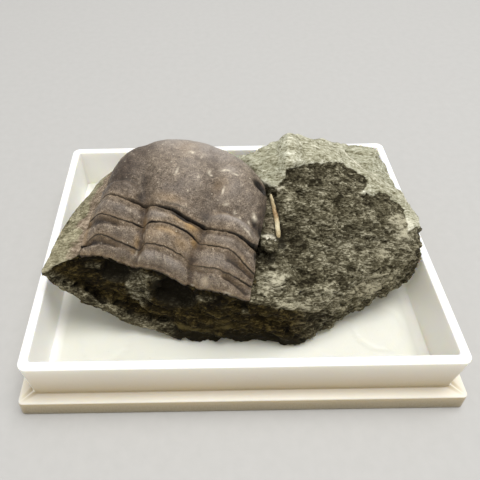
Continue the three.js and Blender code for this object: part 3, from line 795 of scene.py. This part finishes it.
# The same on the thorax: across 0 to 1, line 0 to 3, half width and half length in millimetres, strength
THORAX_SPOTS = {
    "glint": [
        (0.355, 2.6, 0.14, 0.16, 0.9), (0.47, 2.55, 0.2, 0.07, 0.5), (0.32, 2.2, 0.1, 0.3, 0.6),
        (0.77, 2.7, 0.25, 0.25, 0.6), (0.7, 2.95, 0.2, 0.05, 0.9), (0.88, 2.97, 0.35, 0.05, 0.8),
        (0.35, 1.55, 0.1, 0.2, 0.5), (0.23, 0.42, 0.1, 0.1, 0.4),
    ],
    "stain": [
        (0.62, 0.42, 0.75, 0.75, 0.95), (0.55, 0.5, 1, 0.5, 0.4), (0.66, 1.05, 0.4, 0.4, 0.7),
        (0.5, 1.3, 1.8, 0.35, 0.45), (0.42, 1.6, 1.3, 0.5, 0.3), (0.6, 1.6, 1.1, 0.45, 0.35),
        (0.34, 0.9, 0.35, 0.5, 0.45), (0.31, 1.8, 0.3, 0.5, 0.5), (0.3, 2.2, 0.25, 0.4, 0.35),
        (0.77, 2.75, 0.35, 0.35, 0.5), (0.02, 1.4, 0.5, 1.2, 0.35), (0.93, 1, 0.4, 0.4, 0.3),
    ],
    # Painted highlights on the crests of the rings
    "pale": [
        (0.42, 2.5, 1.5, 0.35, 0.8), (0.56, 2.5, 1.3, 0.3, 0.7), (0.42, 0.6, 1.3, 0.35, 0.5),
        (0.44, 1.65, 1, 0.3, 0.5), (0.8, 1.7, 1.2, 0.4, 0.5), (0.8, 0.6, 1.3, 0.4, 0.4),
        (0.77, 2.75, 0.4, 0.3, 0.9), (0.2, 0.55, 1, 0.4, 0.3),
    ],
    # Painted shade along the cracks, in the left pleural grooves and at the right tip
    "dark": [
        (0.56, 0.1, 1.7, 0.22, 0.8), (0.43, 0.12, 0.7, 0.16, 0.5), (0.11, 1.36, 0.8, 0.28, 0.6),
        (0.09, 2.35, 0.9, 0.28, 0.75), (0.66, 0.95, 0.5, 0.15, 0.5), (0.995, 0.3, 0.15, 0.5, 0.9),
    ],
    # Painted shade in the axial furrows and over the pleurae
    "painted_shade": [
        (0.315, 0.3, 0.45, 0.6, 0.8), (0.325, 1, 0.4, 0.6, 0.75), (0.33, 1.9, 0.4, 0.7, 0.8),
        (0.33, 2.7, 0.4, 0.6, 0.6), (0.695, 0.3, 0.5, 0.6, 0.8), (0.69, 1.1, 0.45, 0.6, 0.7),
        (0.68, 1.9, 0.45, 0.6, 0.8), (0.685, 2.7, 0.4, 0.6, 0.5), (0.2, 0.7, 1.2, 0.45, 0.5),
        (0.06, 0.5, 1.2, 0.5, 0.5), (0.1, 1.3, 1.4, 0.3, 0.9), (0.22, 1.75, 0.9, 0.3, 0.4),
        (0.08, 2.3, 1.2, 0.3, 0.95), (0.2, 2.8, 1.6, 0.4, 0.3), (0.85, 0.3, 1.8, 0.3, 0.6),
        (0.93, 1.35, 0.9, 0.35, 0.5), (0.93, 2.4, 0.8, 0.4, 0.5), (0.985, 1.5, 0.3, 2.5, 0.5),
        (0.5, 2.9, 3, 0.15, 0.6), (0.6, 0.12, 1.5, 0.2, 0.6),
    ],
}


def spots(x, y, table):
    """Strength of the strongest soft spot at each place."""
    strength = np.zeros(x.shape)
    for at_x, at_y, half_x, half_y, most in table:
        strength = np.maximum(strength, most * bell(np.hypot((x - at_x) / half_x, (y - at_y) / half_y)))
    return strength


def spot_marks(x, y, tables, scale=(1, 1)):
    """All the marks of a table of spots. The scale is for the places, not for the sizes."""
    marks = {}
    for name, table in tables.items():
        marks[name] = spots(x, y, [(a * scale[0], b * scale[1], *rest) for a, b, *rest in table])
    return marks


def plate_piece(name, node, upper, lower, grid, marks, underside_shade, material):
    """Makes one plate of the fossil. Its under side has no mark but its painted shade."""
    mesh = new_mesh(name, in_frame(np.concatenate([upper, lower])), sheet_faces(*grid))
    for key, values in marks.items():
        under = np.full(len(values), underside_shade if key == "dark" else 0.0)
        mark(mesh, key, np.concatenate([np.clip(values, 0, 1), under]))
    add_piece(mesh, node, material)


def head_piece(material):
    s, t = unit_grid(*HEAD_GRID)
    x, y = head_plan(s, t)
    z = dome_height(x, y) + head_relief(x, y)
    lower = listed(x, y, z - HEAD_SHELL)
    back = y - rib_curves[0][1](x) - crack_curves[0](x)
    from_back = np.maximum(0, back)
    open_share = crack_opening(0, x)
    z = z - 0.1 * open_share * np.exp(-from_back / 0.08)
    z = z + 0.08 * open_share * bell((back - 0.35) / 0.3)
    plain = listed(x, y, z)
    lumps = 0.05 * waves(plain, 2.4, 11, 2) + 0.05 * waves(plain, 0.8, 12, 3)
    lumps += 0.02 * waves(plain, 0.28, 13, 2)
    marks = spot_marks(x.ravel(), y.ravel(), HEAD_SPOTS)
    lumps -= marks.pop("pit")
    # Painted shade in the crack behind the back edge
    crack = (np.maximum(0.6, open_share) * np.exp(-from_back / 0.06)).ravel()
    # Painted light and shade that follow the lumps: lighter where raised, darker where low
    marks["relief_shade"] = 0.5 + 4 * lumps
    marks["dark"] = np.maximum(crack * 0.9, marks["dark"])
    marks["stain"] = np.maximum(marks["stain"], 0.2 * np.exp(-from_back.ravel() / 0.25))
    marks["glint"] *= 0.75 + 0.9 * waves(plain, 0.25, 5)
    upper = plain + lumps[:, None] * [0, 0, 1]
    # The head shield's under side gets strong painted shade
    plate_piece("head_shield", "cephalon", upper, lower, s.shape, marks, 0.9, material)


def plate_edge(knot, line, side):
    """Ragged edge of a plate, beside the crack along one cross line."""
    return rib_curves[line][1](knot) + side * crack_curves[line](knot) + ragged(knot, 5 + line)


def thorax_piece(index, material):
    last = index == PLATES - 1
    s, f = unit_grid(*PLATE_GRID)
    f = f[:, ::-1]
    line = index + f
    x, _, z, shell = thorax_place(s, line)
    knot = KNOTS[0] + TIP_TO_TIP * s
    front = plate_edge(knot, index, -1)
    back = plate_edge(knot, index + 1, 1)
    if last:
        back += 1.6 * ragged(knot / 3, 19)
    y = front + (back - front) * f
    length = np.maximum(0.3, front - back)
    from_front = f * length
    from_back = (1 - f) * length
    from_edge = np.minimum(from_front, from_back).ravel()
    front_open = crack_opening(index, knot)
    back_open = crack_opening(index + 1, knot)
    relief = 0.22 * bell((f - 0.55) / 0.26) - 0.1 * bell((f - 0.22) / 0.1)
    relief += 0.04 * back_open * smooth_step(0.5, 0.9, f)
    relief -= 0.16 * front_open * np.exp(-from_front / 0.1) + 0.06 * back_open * np.exp(-from_back / 0.06)
    flat = np.stack([s.ravel(), line.ravel()], 1) * FLAT_SCALE
    # Painted shade at the core of the narrow grooves
    groove_shade = np.zeros(len(flat))
    for width, depth, path in GROOVES:
        cut = bell(distance_to_path(flat, np.array(path) * FLAT_SCALE) / width)
        relief -= (depth * cut).reshape(s.shape)
        groove_shade = np.maximum(groove_shade, min(0.7, depth * 1.8) * cut ** 3 * (width < 0.4))
    plain = listed(x, y, z + relief)
    lumps = 0.04 * waves(plain * [1, 1.6, 1], 1.0, 21 + index, 2)
    lumps += 0.04 * waves(plain * [1, 1.5, 1], 0.5, 31, 3)
    # Painted shade in the cracks at the plate's front and back edges
    near_front = np.maximum(0.6, front_open) * np.exp(-from_front / 0.05)
    near_back = np.maximum(0.6, back_open) * np.exp(-from_back / 0.05) * (not last)
    crack = np.maximum(near_front, near_back).ravel()
    bow = relief - 0.14 * bell((f - 0.62) / 0.5)
    marks = spot_marks(flat[:, 0], flat[:, 1], THORAX_SPOTS, FLAT_SCALE)
    # Painted light and shade that follow the lumps and the bow of the ring
    marks["relief_shade"] = 0.5 + 4 * lumps + 1.6 * bow.ravel()
    marks["dark"] = np.maximum.reduce([crack, groove_shade * 0.75, marks["dark"]])
    marks["stain"] = np.maximum(marks["stain"], 0.25 * np.exp(-from_edge / 0.2))
    marks["glint"] *= 0.75 + 0.6 * waves(plain, 0.2, 5)
    upper = plain + lumps[:, None] * [0, 0, 1]
    lower = listed(x, y, z - shell * (1 - 0.6 * smooth_step(2.6, 3.0, line)))
    name = f"thorax_plate_{index + 1}"
    node = f"thorax_segment_{index + 1}"
    # Painted shade on the under side, weaker on the last plate
    plate_piece(name, node, upper, lower, s.shape, marks, 0.3 if last else 0.8, material)


# Rock

def cast_sheets():
    """Stone under the fossil: sheets that follow its plates a little lower, for the head and the thorax."""
    s, t = unit_grid(*CAST_GRID)
    x, y = head_plan(s, t, CAST_GROW, -CAST_GROW)
    z = dome_height(x, y) + head_relief(x, y)
    head = [listed(x, y, z - low) for low in (CAST_DROP, HEAD_SHELL + 0.7)]
    line = 2.86 * (1 - t)
    x, y, z, shell = thorax_place(s, line)
    x = x + CAST_GROW * (2 * s - 1)
    rise = (CAST_DROP - EDGE_COVER) * smooth_step(2.3, 2.8, line)
    thorax = [listed(x, y, z - low) for low in (CAST_DROP + 0.1 - rise, shell + 0.5)]
    return [(in_frame(np.concatenate(pair)), sheet_faces(*s.shape)) for pair in (head, thorax)]


def flank_surface(s, t):
    """Grid of places on the smooth slope left of the fossil, from its outer edge up to the plates."""
    edge, top = (np.stack(smooth_path(path, s), -1) for path in (FLANK_EDGE, FLANK_TOP))
    return edge + (top - edge) * t[..., None]


def flank_sheet():
    """Stone under the flank's slope."""
    s, t = unit_grid(*FLANK_GRID)
    thin, thick = FLANK_THICKNESS
    depth = thin + (thick - thin) * smooth_step(0.0, 0.3, s) * (0.4 + 0.6 * t)
    upper = flank_surface(s, t)
    lower = upper - depth[..., None] * [0, 0, 1]
    return np.concatenate([upper.reshape(-1, 3), lower.reshape(-1, 3)]), sheet_faces(*s.shape)


def sliver_bed():
    """Stone close round the loose cheek."""
    s, t = unit_grid(*BED_GRID)
    x, y, z = smooth_path(SLIVER_PATH, s)
    side = 2 * t - 1
    upper = listed(x + side * 0.75, y, z - 0.05 - 0.25 * np.abs(side))
    return np.concatenate([upper, upper - [0, 0, 1.6]]), sheet_faces(*s.shape)


def fused(parts, voxel):
    """One closed mesh round all the given parts."""
    points = np.concatenate([p for p, _ in parts])
    faces = []
    start = 0
    for part_points, part_faces in parts:
        faces.extend((np.asarray(part_faces) + start).tolist())
        start += len(part_points)
    rough = linked("rough_stone", new_mesh("rough_stone", points, faces))
    remesh = rough.modifiers.new("remesh", "REMESH")
    remesh.mode = "VOXEL"
    remesh.voxel_size = voxel
    evaluated = rough.evaluated_get(bpy.context.evaluated_depsgraph_get())
    mesh = bpy.data.meshes.new_from_object(evaluated)
    bpy.data.objects.remove(rough)
    return mesh


def pressed_below(points, tree, up, clearance):
    """Moves points that stand above a surface down to a small distance below it."""
    moved = points.copy()
    for i, place in enumerate(points.tolist()):
        hit = tree.ray_cast(Vector(place) + up * clearance, -up, clearance + 2.0)[0]
        if hit is not None:
            moved[i] = hit - up * clearance
    return moved


def close_to(points, tree, reach):
    """1 near a surface, from half the given distance falling to 0 at the whole of it."""
    places = (tree.find_nearest(Vector(p), reach)[3] for p in points.tolist())
    return np.array([0.0 if distance is None else min(1.0, 2 - 2 * distance / reach) for distance in places])


def covered(points, tree, up, reach):
    """1 where the fossil lies close above a point."""
    return np.array([float(tree.ray_cast(Vector(p), up, reach)[0] is not None) for p in points.tolist()])


def hollowed(points, hollows, axis, side, reach):
    """Pushes what faces to one side of an axis into rounded hollows. The reach is in half sizes."""
    points = points.copy()
    across = [other for other in range(3) if other != axis]
    for centre, half in hollows:
        offset = (points - centre) / half
        inward = 1 - (offset[:, across] ** 2).sum(1)
        bottom = -np.sqrt(np.maximum(0, inward))
        above = side * offset[:, axis]
        near = (inward > 0) & (above > bottom) & (above < reach)
        points[near, axis] = centre[axis] + side * half[axis] * bottom[near]
    return points


def ball(centre, radius):
    """A round lump of stone."""
    made = bmesh.new()
    bmesh.ops.create_icosphere(made, subdivisions=3, radius=radius)
    made.verts.index_update()
    points = np.array([vertex.co for vertex in made.verts]) + centre
    faces = [[vertex.index for vertex in face.verts] for face in made.faces]
    made.free()
    return points, faces


def surface_tree(*grids):
    """Grids of places as one surface that rays can be cast at."""
    points, faces = [], []
    for grid in grids:
        index = np.arange(grid[..., 0].size).reshape(grid.shape[:2]) + len(points)
        points.extend(grid.reshape(-1, 3).tolist())
        corners = [index[:-1, :-1], index[1:, :-1], index[1:, 1:], index[:-1, 1:]]
        faces.extend(np.stack(corners, -1).reshape(-1, 4).tolist())
    return BVHTree.FromPolygons(points, faces)


def rock_limit():
    """Surface that the rock stays below: the fossil's upper side, lowered."""
    s, t = unit_grid(*LIMIT_GRID)
    x, y = head_plan(s, t, 0.0, 0.05)
    head = np.stack([x, y, dome_height(x, y) + head_relief(x, y) - COVER], -1)
    line = PLATES * (1 - t)
    x, y, z, _ = thorax_place(s, line)
    cover = COVER - (COVER - EDGE_COVER) * smooth_step(2.5, 2.85, line)
    return surface_tree(in_frame(head), in_frame(np.stack([x, y, z - cover], -1)))


def shaped(points, slope, on_knob):
    """Sinks hollows, flattens the flank and pushes corners out. Also tells where the grain stays."""
    points = points + (hollowed(points, BOWLS, 2, 1, 2) - points) * (1 - on_knob[:, None])
    points = hollowed(points, FRONT_HOLLOWS, 1, -1, 3)
    points = pressed_below(points, slope, Vector((0, 0, 1)), 0.02)
    place, outward = FLANK_END
    normal = np.array(outward) / np.linalg.norm(outward)
    points = points - np.maximum(0, (points - place) @ normal)[:, None] * normal
    grainy = np.ones(len(points))
    for place, reach, push in CORNERS:
        share = bell(away(points, place) / reach)
        points = points + share[:, None] * push
        grainy *= 1 - 0.8 * share
    return points, grainy


def rock_regions(points, normals, slope, on_knob, grainy):
    """How far each point belongs to the parts of the stone that differ in colour or relief."""
    x, y, z = points.T
    part = SimpleNamespace(on_knob=on_knob, streaked=points @ STREAK_TURN * STREAK_SQUEEZE)
    part.flank = close_to(points, slope, 0.6) * smooth_step(0.3, 0.6, normals[:, 2])
    wander = points.copy()
    wander[:, :2] += 0.3 * np.stack([waves(points, 0.9, 41, 3), waves(points, 0.9, 42, 3)], 1)
    part.wander = wander
    part.upward = smooth_step(0.55, 0.8, normals[:, 2] + 0.3 * smooth_step(5.0, 4.4, x) + 1.2 * (1 - grainy))
    part.facet = np.maximum.reduce([inside_polygon(wander, plan, 0.3) for plan in PALE_FACETS]) * part.upward
    part.grey = np.maximum.reduce([inside_polygon(points, plan, 0.12) for plan in GREY_FACETS])
    edge_x, edge_y = zip(*FRONT_EDGE)
    before_edge = monotone(edge_x, edge_y)(np.clip(x, edge_x[0], edge_x[-1])) - y
    part.front = smooth_step(0.0, 0.5, before_edge) * smooth_step(1.8, 0.8, x)
    deep = [away(wander, centre, np.multiply(half, [1, 1.3, 1])) for centre, half in FRONT_HOLLOWS]
    part.deep = smooth_step(1.25, 0.9, np.minimum.reduce(deep))
    bulge = smooth_step(1.3, 0.8, away(wander, *FRONT_BULGE))
    to_slab = distance_to_path(points, SLAB_EDGE)
    # Painted shade on faces that turn forward or down, and over the front face below the broken edge, which
    # is also darker rock; less on the grey bulge, the slab and the knob
    steep = smooth_step(0.66, 0.36, normals[:, 2]) * smooth_step(0.15, -0.35, normals[:, 1])
    steep *= (1 - 0.7 * smooth_step(5.0, 10.0, x)) * smooth_step(13.6, 12.8, z)
    calm = (1 - 0.9 * bulge) * (1 - 0.65 * smooth_step(1.5, 0.7, to_slab)) * (1 - 0.8 * on_knob)
    part.steep = np.maximum(steep, part.front) * calm
    part.shell_patch = inside_polygon(points, SHELL_PATCH, 0.3) * (z > 11)
    part.crack = bell(distance_to_path(points, BEDDING_CRACK) / 0.2)
    to_rim = np.minimum(distance_to_path(points, FLANK_EDGE), to_slab)
    part.rough = 1 - np.maximum(0.6 * part.facet, 0.75 * part.flank)
    part.rough *= 1 - 0.6 * smooth_step(1.3, 0.6, to_rim)
    part.rough *= grainy * smooth_step(0.3, 0.9, distance_to_path(points, SLIVER_PATH))
    part.rough *= 1 - 0.7 * part.shell_patch
    return part


def crack_open(points):
    """Where the split along the bedding stands open."""
    return smooth_step(-0.1, 0.15, waves(points, 1.0, 45))


def rock_relief(points, part):
    """Chips, grain, the step of the pale facets and their ridge, and the split along the bedding."""
    streaked = part.streaked
    relief = part.rough * (0.36 * chipped(streaked, 1.5, 1) + 0.26 * chipped(streaked, 0.7, 2) - 0.12)
    relief += part.rough * 0.22 * waves(streaked, 1.1, 43, 3) + 0.1 * waves(points, 3.0, 44, 2)
    relief += 0.3 * smooth_step(0.3, 0.7, part.facet) - 0.15 * part.grey * (points[:, 0] > 10)
    relief += 0.45 * part.facet * np.maximum(0, 1 - distance_to_path(points[:, :2], FACET_RIDGE) / 1.1)
    return relief - 0.9 * part.crack * crack_open(points)


def rock_shade(points, normals, edges, skin, to_knob, part):
    """Painted shade: in the bedding crack and the hollows, under the fossil and the knob, in the gap beside
    the loose cheek and along the foot of the front face.
    """
    x, y, z = points.T
    near_shell = covered(points - 0.05 * np.array(BODY_UP), skin, BODY_UP, 1.0)
    near_shell = relaxed(near_shell[:, None] * np.ones(3), edges, 4)[:, 0]
    bowls = np.minimum.reduce([away(points, *bowl) for bowl in BOWLS])
    # Painted shadow in the gap beside the loose cheek
    beside = distance_to_path(points[:, :2] - [0.12, 0], np.array(SLIVER_PATH)[:, :2])
    groove = smooth_step(0.55, 0.3, beside) * (z > 11) * (y > -4.9)
    under_knob = bell((to_knob - 1.25) / 0.2) * smooth_step(0.3, -0.3, y - KNOB[0][1])
    # Painted shadow along the foot of the front face
    foot = smooth_step(3.9, 3.3, z + 0.3 * waves(points, 0.8, 52)) * smooth_step(-7.4, -6.9, x)
    foot *= smooth_step(9.0, 5.0, x) * smooth_step(0.1, -0.2, normals[:, 1])
    return (
        smooth_step(0.3, 0.7, near_shell) + 0.8 * under_knob + 0.85 * groove + part.crack * crack_open(points)
        + part.deep + 0.9 * smooth_step(1.25, 0.85, bowls) * (1 - part.on_knob) + 0.8 * foot
    )


def rock_marks(points, normals, edges, part):
    """The other numbers that the stone's material reads."""
    # Height above the smoothed surface, for painted light on raised places and painted shade in hollows
    relief_shade = ((points - relaxed(points, edges, 6)) * normals).sum(1)
    vein = bell(distance_to_path((points + part.wander)[:, :2] / 2, CALCITE_VEIN) / 0.16) * part.upward
    vein *= np.clip(0.8 + 0.8 * waves(points, 0.5, 47), 0, 1)
    ridge = 0.6 * bell(distance_to_path(points, PALE_RIDGE) / 0.12)
    crust = (points - KNOB[0]) @ CRUST_SIDE / KNOB[1] + 0.35 * waves(points, 0.3, 50, 2)
    crust = part.on_knob * smooth_step(0.62, 0.74, crust)
    to_plates = distance_to_path(points, FLANK_TOP) - 0.9 * smooth_step(-1.0, 2.0, points[:, 1])
    shell = part.flank * smooth_step(1.8, 0.2, to_plates + 0.8 * waves(points, 1.6, 49, 2))
    ochre = bell(distance_to_path(part.wander, OCHRE_LINE) / 0.4)
    tan = part.steep * smooth_step(0.1, 0.6, waves(points, 3.0, 48, 2))
    # Lighter and darker patches, partly painted light and shade
    light = 0.5 + 0.15 * waves(part.streaked, 1.0, 51, 2)
    for centre, radius, strength in LIGHT_AND_DARK_PLACES:
        light += 0.5 * strength * bell(away(part.wander, centre) / radius)
    return {
        "pale": part.facet,
        "grey": 0.42 * part.grey * part.facet,
        "flank": part.flank * (1 - part.front),
        "light": np.clip(light, 0, 1),
        "vein": np.maximum.reduce([crust, vein, ridge]),
        # Painted shade, and a slight darkening that is the own tone of the shell-covered patch
        "shade": np.maximum(part.steep, 0.15 * part.shell_patch),
        "shell": np.maximum(0.9 * shell, 0.35 * part.shell_patch),
        "relief_shade": np.clip(0.5 + 3.5 * relief_shade, 0, 1),
        "stain": np.maximum(0.7 * ochre, 0.12 * tan),
    }


def rock_piece(material):
    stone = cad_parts["rock_matrix"].data
    triangles = [list(face.vertices) for face in stone.polygons]
    parts = [(mesh_points(stone) / MM, triangles), *cast_sheets(), flank_sheet(), sliver_bed()]
    mesh = fused(parts + [ball(*KNOB), ball(*FILLED_GAP)], ROCK_VOXEL)
    mesh.name = "broken_rock"
    edges = numbers(mesh.edges, "vertices", 2, int)
    points = relaxed(mesh_points(mesh), edges, 3)
    to_knob = away(points, KNOB[0]) / KNOB[1]
    on_knob = smooth_step(1.3, 0.9, to_knob)
    slope = surface_tree(flank_surface(*unit_grid(*FLANK_GRID)))
    points, grainy = shaped(points, slope, on_knob)
    points = relaxed(points, edges, 2)
    normals = set_points(mesh, points)
    part = rock_regions(points, normals, slope, on_knob, grainy)
    points = relaxed(points + normals * rock_relief(points, part)[:, None], edges, 1)
    fine = part.rough * 0.1 * waves(points * [1, 1.5, 1.3], 0.36, 46, 2)
    points = points + set_points(mesh, points) * fine[:, None]

    low = smooth_step(4.2, ROCK_UNDERSIDE, points[:, 2])
    points[:, 2] -= low * (ROCK_UNDERSIDE - TRAY_FLOOR - 0.02)
    points[:, 2] = np.maximum(points[:, 2], TRAY_FLOOR + 0.01)
    skin = rock_limit()
    points = pressed_below(points, skin, BODY_UP, 0.01)
    normals = set_points(mesh, points)
    for name, values in rock_marks(points, normals, edges, part).items():
        mark(mesh, name, values)
    # Painted shade in cracks and hollows and under the fossil
    mark(mesh, "dark", np.clip(rock_shade(points, normals, edges, skin, to_knob, part), 0, 0.97))
    add_piece(mesh, "rock_matrix", material)


# Loose cheek

def sliver_piece(material):
    s, t = unit_grid(*SLIVER_GRID)
    x, y, z = smooth_path(SLIVER_PATH, s)
    half = SLIVER_HALF * (0.7 + 0.3 * smooth_step(0.1, 0.6, s)) * (1 - 0.35 * np.abs(2 * s - 1) ** 12)
    side = 2 * t - 1
    wobble = ragged(s * 6, 9)
    x = x + side * half + wobble * 0.6
    upper = listed(x, y, z + 0.05 + 0.14 * (1 - side ** 2) + wobble)
    lower = listed(x, y, z - 0.5)
    mesh = new_mesh("loose_cheek_sliver", np.concatenate([upper, lower]), sheet_faces(*s.shape))
    along = np.tile(s.ravel(), 2)
    mark(mesh, "rusty", bell((along - 0.42) / 0.16))
    mark(mesh, "cream", np.maximum(bell((along - 0.75) / 0.13), 0.5 * bell(along / 0.2)))
    add_piece(mesh, "free_cheek_sliver", material)


# Tray

def tray_ring(offset, z):
    """Outline of the tray at one height, moved out from the rim's outer face by the offset."""
    corner_steps, side_steps = 10, 60
    radius = FLANGE_CORNER if offset > FLANGE / 2 else max(LEAST_CORNER, RIM_CORNER + offset)
    corners = []
    for quarter, (side_x, side_y) in enumerate([(1, 1), (-1, 1), (-1, -1), (1, -1)]):
        angles = (quarter + np.linspace(0, 1, corner_steps + 1)) * np.pi / 2
        middle = [side_x * (RIM_HALF_X + offset - radius), side_y * (RIM_HALF_Y + offset - radius)]
        corners.append(np.stack([np.cos(angles), np.sin(angles)], 1) * radius + middle)
    outline = []
    for corner, following in zip(corners, corners[1:] + corners[:1]):
        share = np.arange(1, side_steps)[:, None] / side_steps
        outline += [corner, corner[-1] + (following[0] - corner[-1]) * share]
    outline = np.concatenate(outline)
    return np.column_stack([outline, np.full(len(outline), z)])


def rounded(profile, radius):
    """Replaces each inner corner of a profile by a small curve."""
    profile = np.array(profile, float)
    done = [profile[0]]
    for before, corner, after in zip(profile[:-2], profile[1:-1], profile[2:]):
        to_before, to_after = before - corner, after - corner
        reach = min(radius, 0.45 * np.linalg.norm(to_before), 0.45 * np.linalg.norm(to_after))
        start = corner + to_before / np.linalg.norm(to_before) * reach
        end = corner + to_after / np.linalg.norm(to_after) * reach
        for t in np.linspace(0, 1, 4):
            done.append((1 - t) ** 2 * start + 2 * t * (1 - t) * corner + t * t * end)
    return done + [profile[-1]]


def tray_piece(material):
    profile = rounded([
        (FLANGE + FOOT_FLARE, 0), (FLANGE, FLANGE_TOP), (0, FLANGE_TOP), (0, RIM_TOP),
        (-WALL, RIM_TOP), (-WALL, TRAY_FLOOR), (-WALL - 1.0, TRAY_FLOOR),
    ], EDGE_ROUNDING)
    rings = [tray_ring(offset, z) for offset, z in profile]
    inner = rings[-1]
    floor_steps = 70
    for step in range(1, floor_steps + 1):
        rings.append(inner * [1 - step / floor_steps, 1 - step / floor_steps, 1])
    rings.insert(0, rings[0] * [0, 0, 1])
    points = np.concatenate(rings)
    count = len(inner)
    index = np.arange(len(points)).reshape(-1, count)
    along = np.roll(index, -1, 1)
    faces = np.stack([index[:-1], along[:-1], along[1:], index[1:]], -1).reshape(-1, 4)

    on_floor = smooth_step(0.6, 1.2, np.minimum(RIM_HALF_X - WALL - np.abs(points[:, 0]),
                                                RIM_HALF_Y - WALL - np.abs(points[:, 1])))
    on_floor *= points[:, 2] > TRAY_FLOOR - 0.05
    for centre, radius in EJECTOR_MARKS:
        past = np.hypot(points[:, 0] - centre[0], points[:, 1] - centre[1]) - radius
        points[:, 2] -= on_floor * (0.05 * bell(past / 0.16) + 0.02 * smooth_step(0.1, -0.1, past))
    points[:, 2] += on_floor * 0.02 * waves(points, 3.0, 61, 2)
    mesh = new_mesh("white_tray", points, faces)
    outside = np.maximum(np.abs(points[:, 0]) - RIM_HALF_X, np.abs(points[:, 1]) - RIM_HALF_Y)
    # Painted shade: the tray's floor is made greyer than its walls
    mark(mesh, "thin", on_floor)
    # Painted shade on the outer walls, less on the flange's top, which faces the light
    outer = smooth_step(-0.25, -0.05, outside) * smooth_step(RIM_TOP - 0.05, RIM_TOP - 0.35, points[:, 2])
    on_flange = smooth_step(0.05, 0.2, outside)
    on_flange *= smooth_step(FLANGE_TOP - 0.15, FLANGE_TOP - 0.05, points[:, 2])
    mark(mesh, "outer", outer * (1 - 0.6 * on_flange))
    add_piece(mesh, "display_tray", material)


# Surroundings

def stage():
    """Plain pale floor under the tray."""
    corners = np.array([[-1, -1, 0], [1, -1, 0], [1, 1, 0], [-1, 1, 0]])
    mesh = new_mesh("table_top", corners * TABLE_HALF * MM, [[0, 1, 2, 3]])
    mesh.materials.append(floor_material())
    linked("table_top", mesh)


def add_camera():
    data = bpy.data.cameras.new("camera")
    data.sensor_width = SENSOR
    data.lens = SENSOR * FOCAL_PIXELS / IMAGE_WIDTH
    data.shift_x = 0.5 - PRINCIPAL_PIXEL[0] / IMAGE_WIDTH
    data.shift_y = PRINCIPAL_PIXEL[1] / IMAGE_WIDTH - 0.5
    data.clip_start = 0.001
    data.clip_end = 10
    camera = linked("camera", data)
    back = Vector((
        math.sin(CAMERA_YAW) * math.cos(CAMERA_ELEVATION),
        -math.cos(CAMERA_YAW) * math.cos(CAMERA_ELEVATION),
        math.sin(CAMERA_ELEVATION),
    ))
    right = (-back).cross(Vector((0, 0, 1))).normalized()
    up = back.cross(right)
    turn = Matrix((right, up, back)).transposed() @ Matrix.Rotation(CAMERA_ROLL, 3, "Z")
    camera.matrix_world = Matrix.Translation(Vector(CAMERA_PLACE) * MM) @ turn.to_4x4()
    bpy.context.scene.camera = camera


def add_light(name, place, size, power, color):
    """A soft square light that faces the object."""
    data = bpy.data.lights.new(name, "AREA")
    data.shape = "SQUARE"
    data.size = size
    data.energy = power
    data.color = color
    light = linked(name, data)
    light.location = place
    light.rotation_euler = (-Vector(place)).to_track_quat("-Z", "Y").to_euler()


def add_lights():
    for light in LIGHTS:
        add_light(*light)
    world = bpy.data.worlds.new("studio")
    world.use_nodes = True
    background = world.node_tree.nodes["Background"]
    background.inputs["Color"].default_value = (*WORLD_COLOR, 1)
    background.inputs["Strength"].default_value = WORLD_STRENGTH
    bpy.context.scene.world = world


add_camera()
add_lights()
stage()
bpy.context.scene.view_settings.view_transform = "Standard"

shell = shell_material()
head_piece(shell)
for plate in range(PLATES):
    thorax_piece(plate, shell)
rock_piece(rock_material())
sliver_piece(sliver_material())
tray_piece(tray_material())
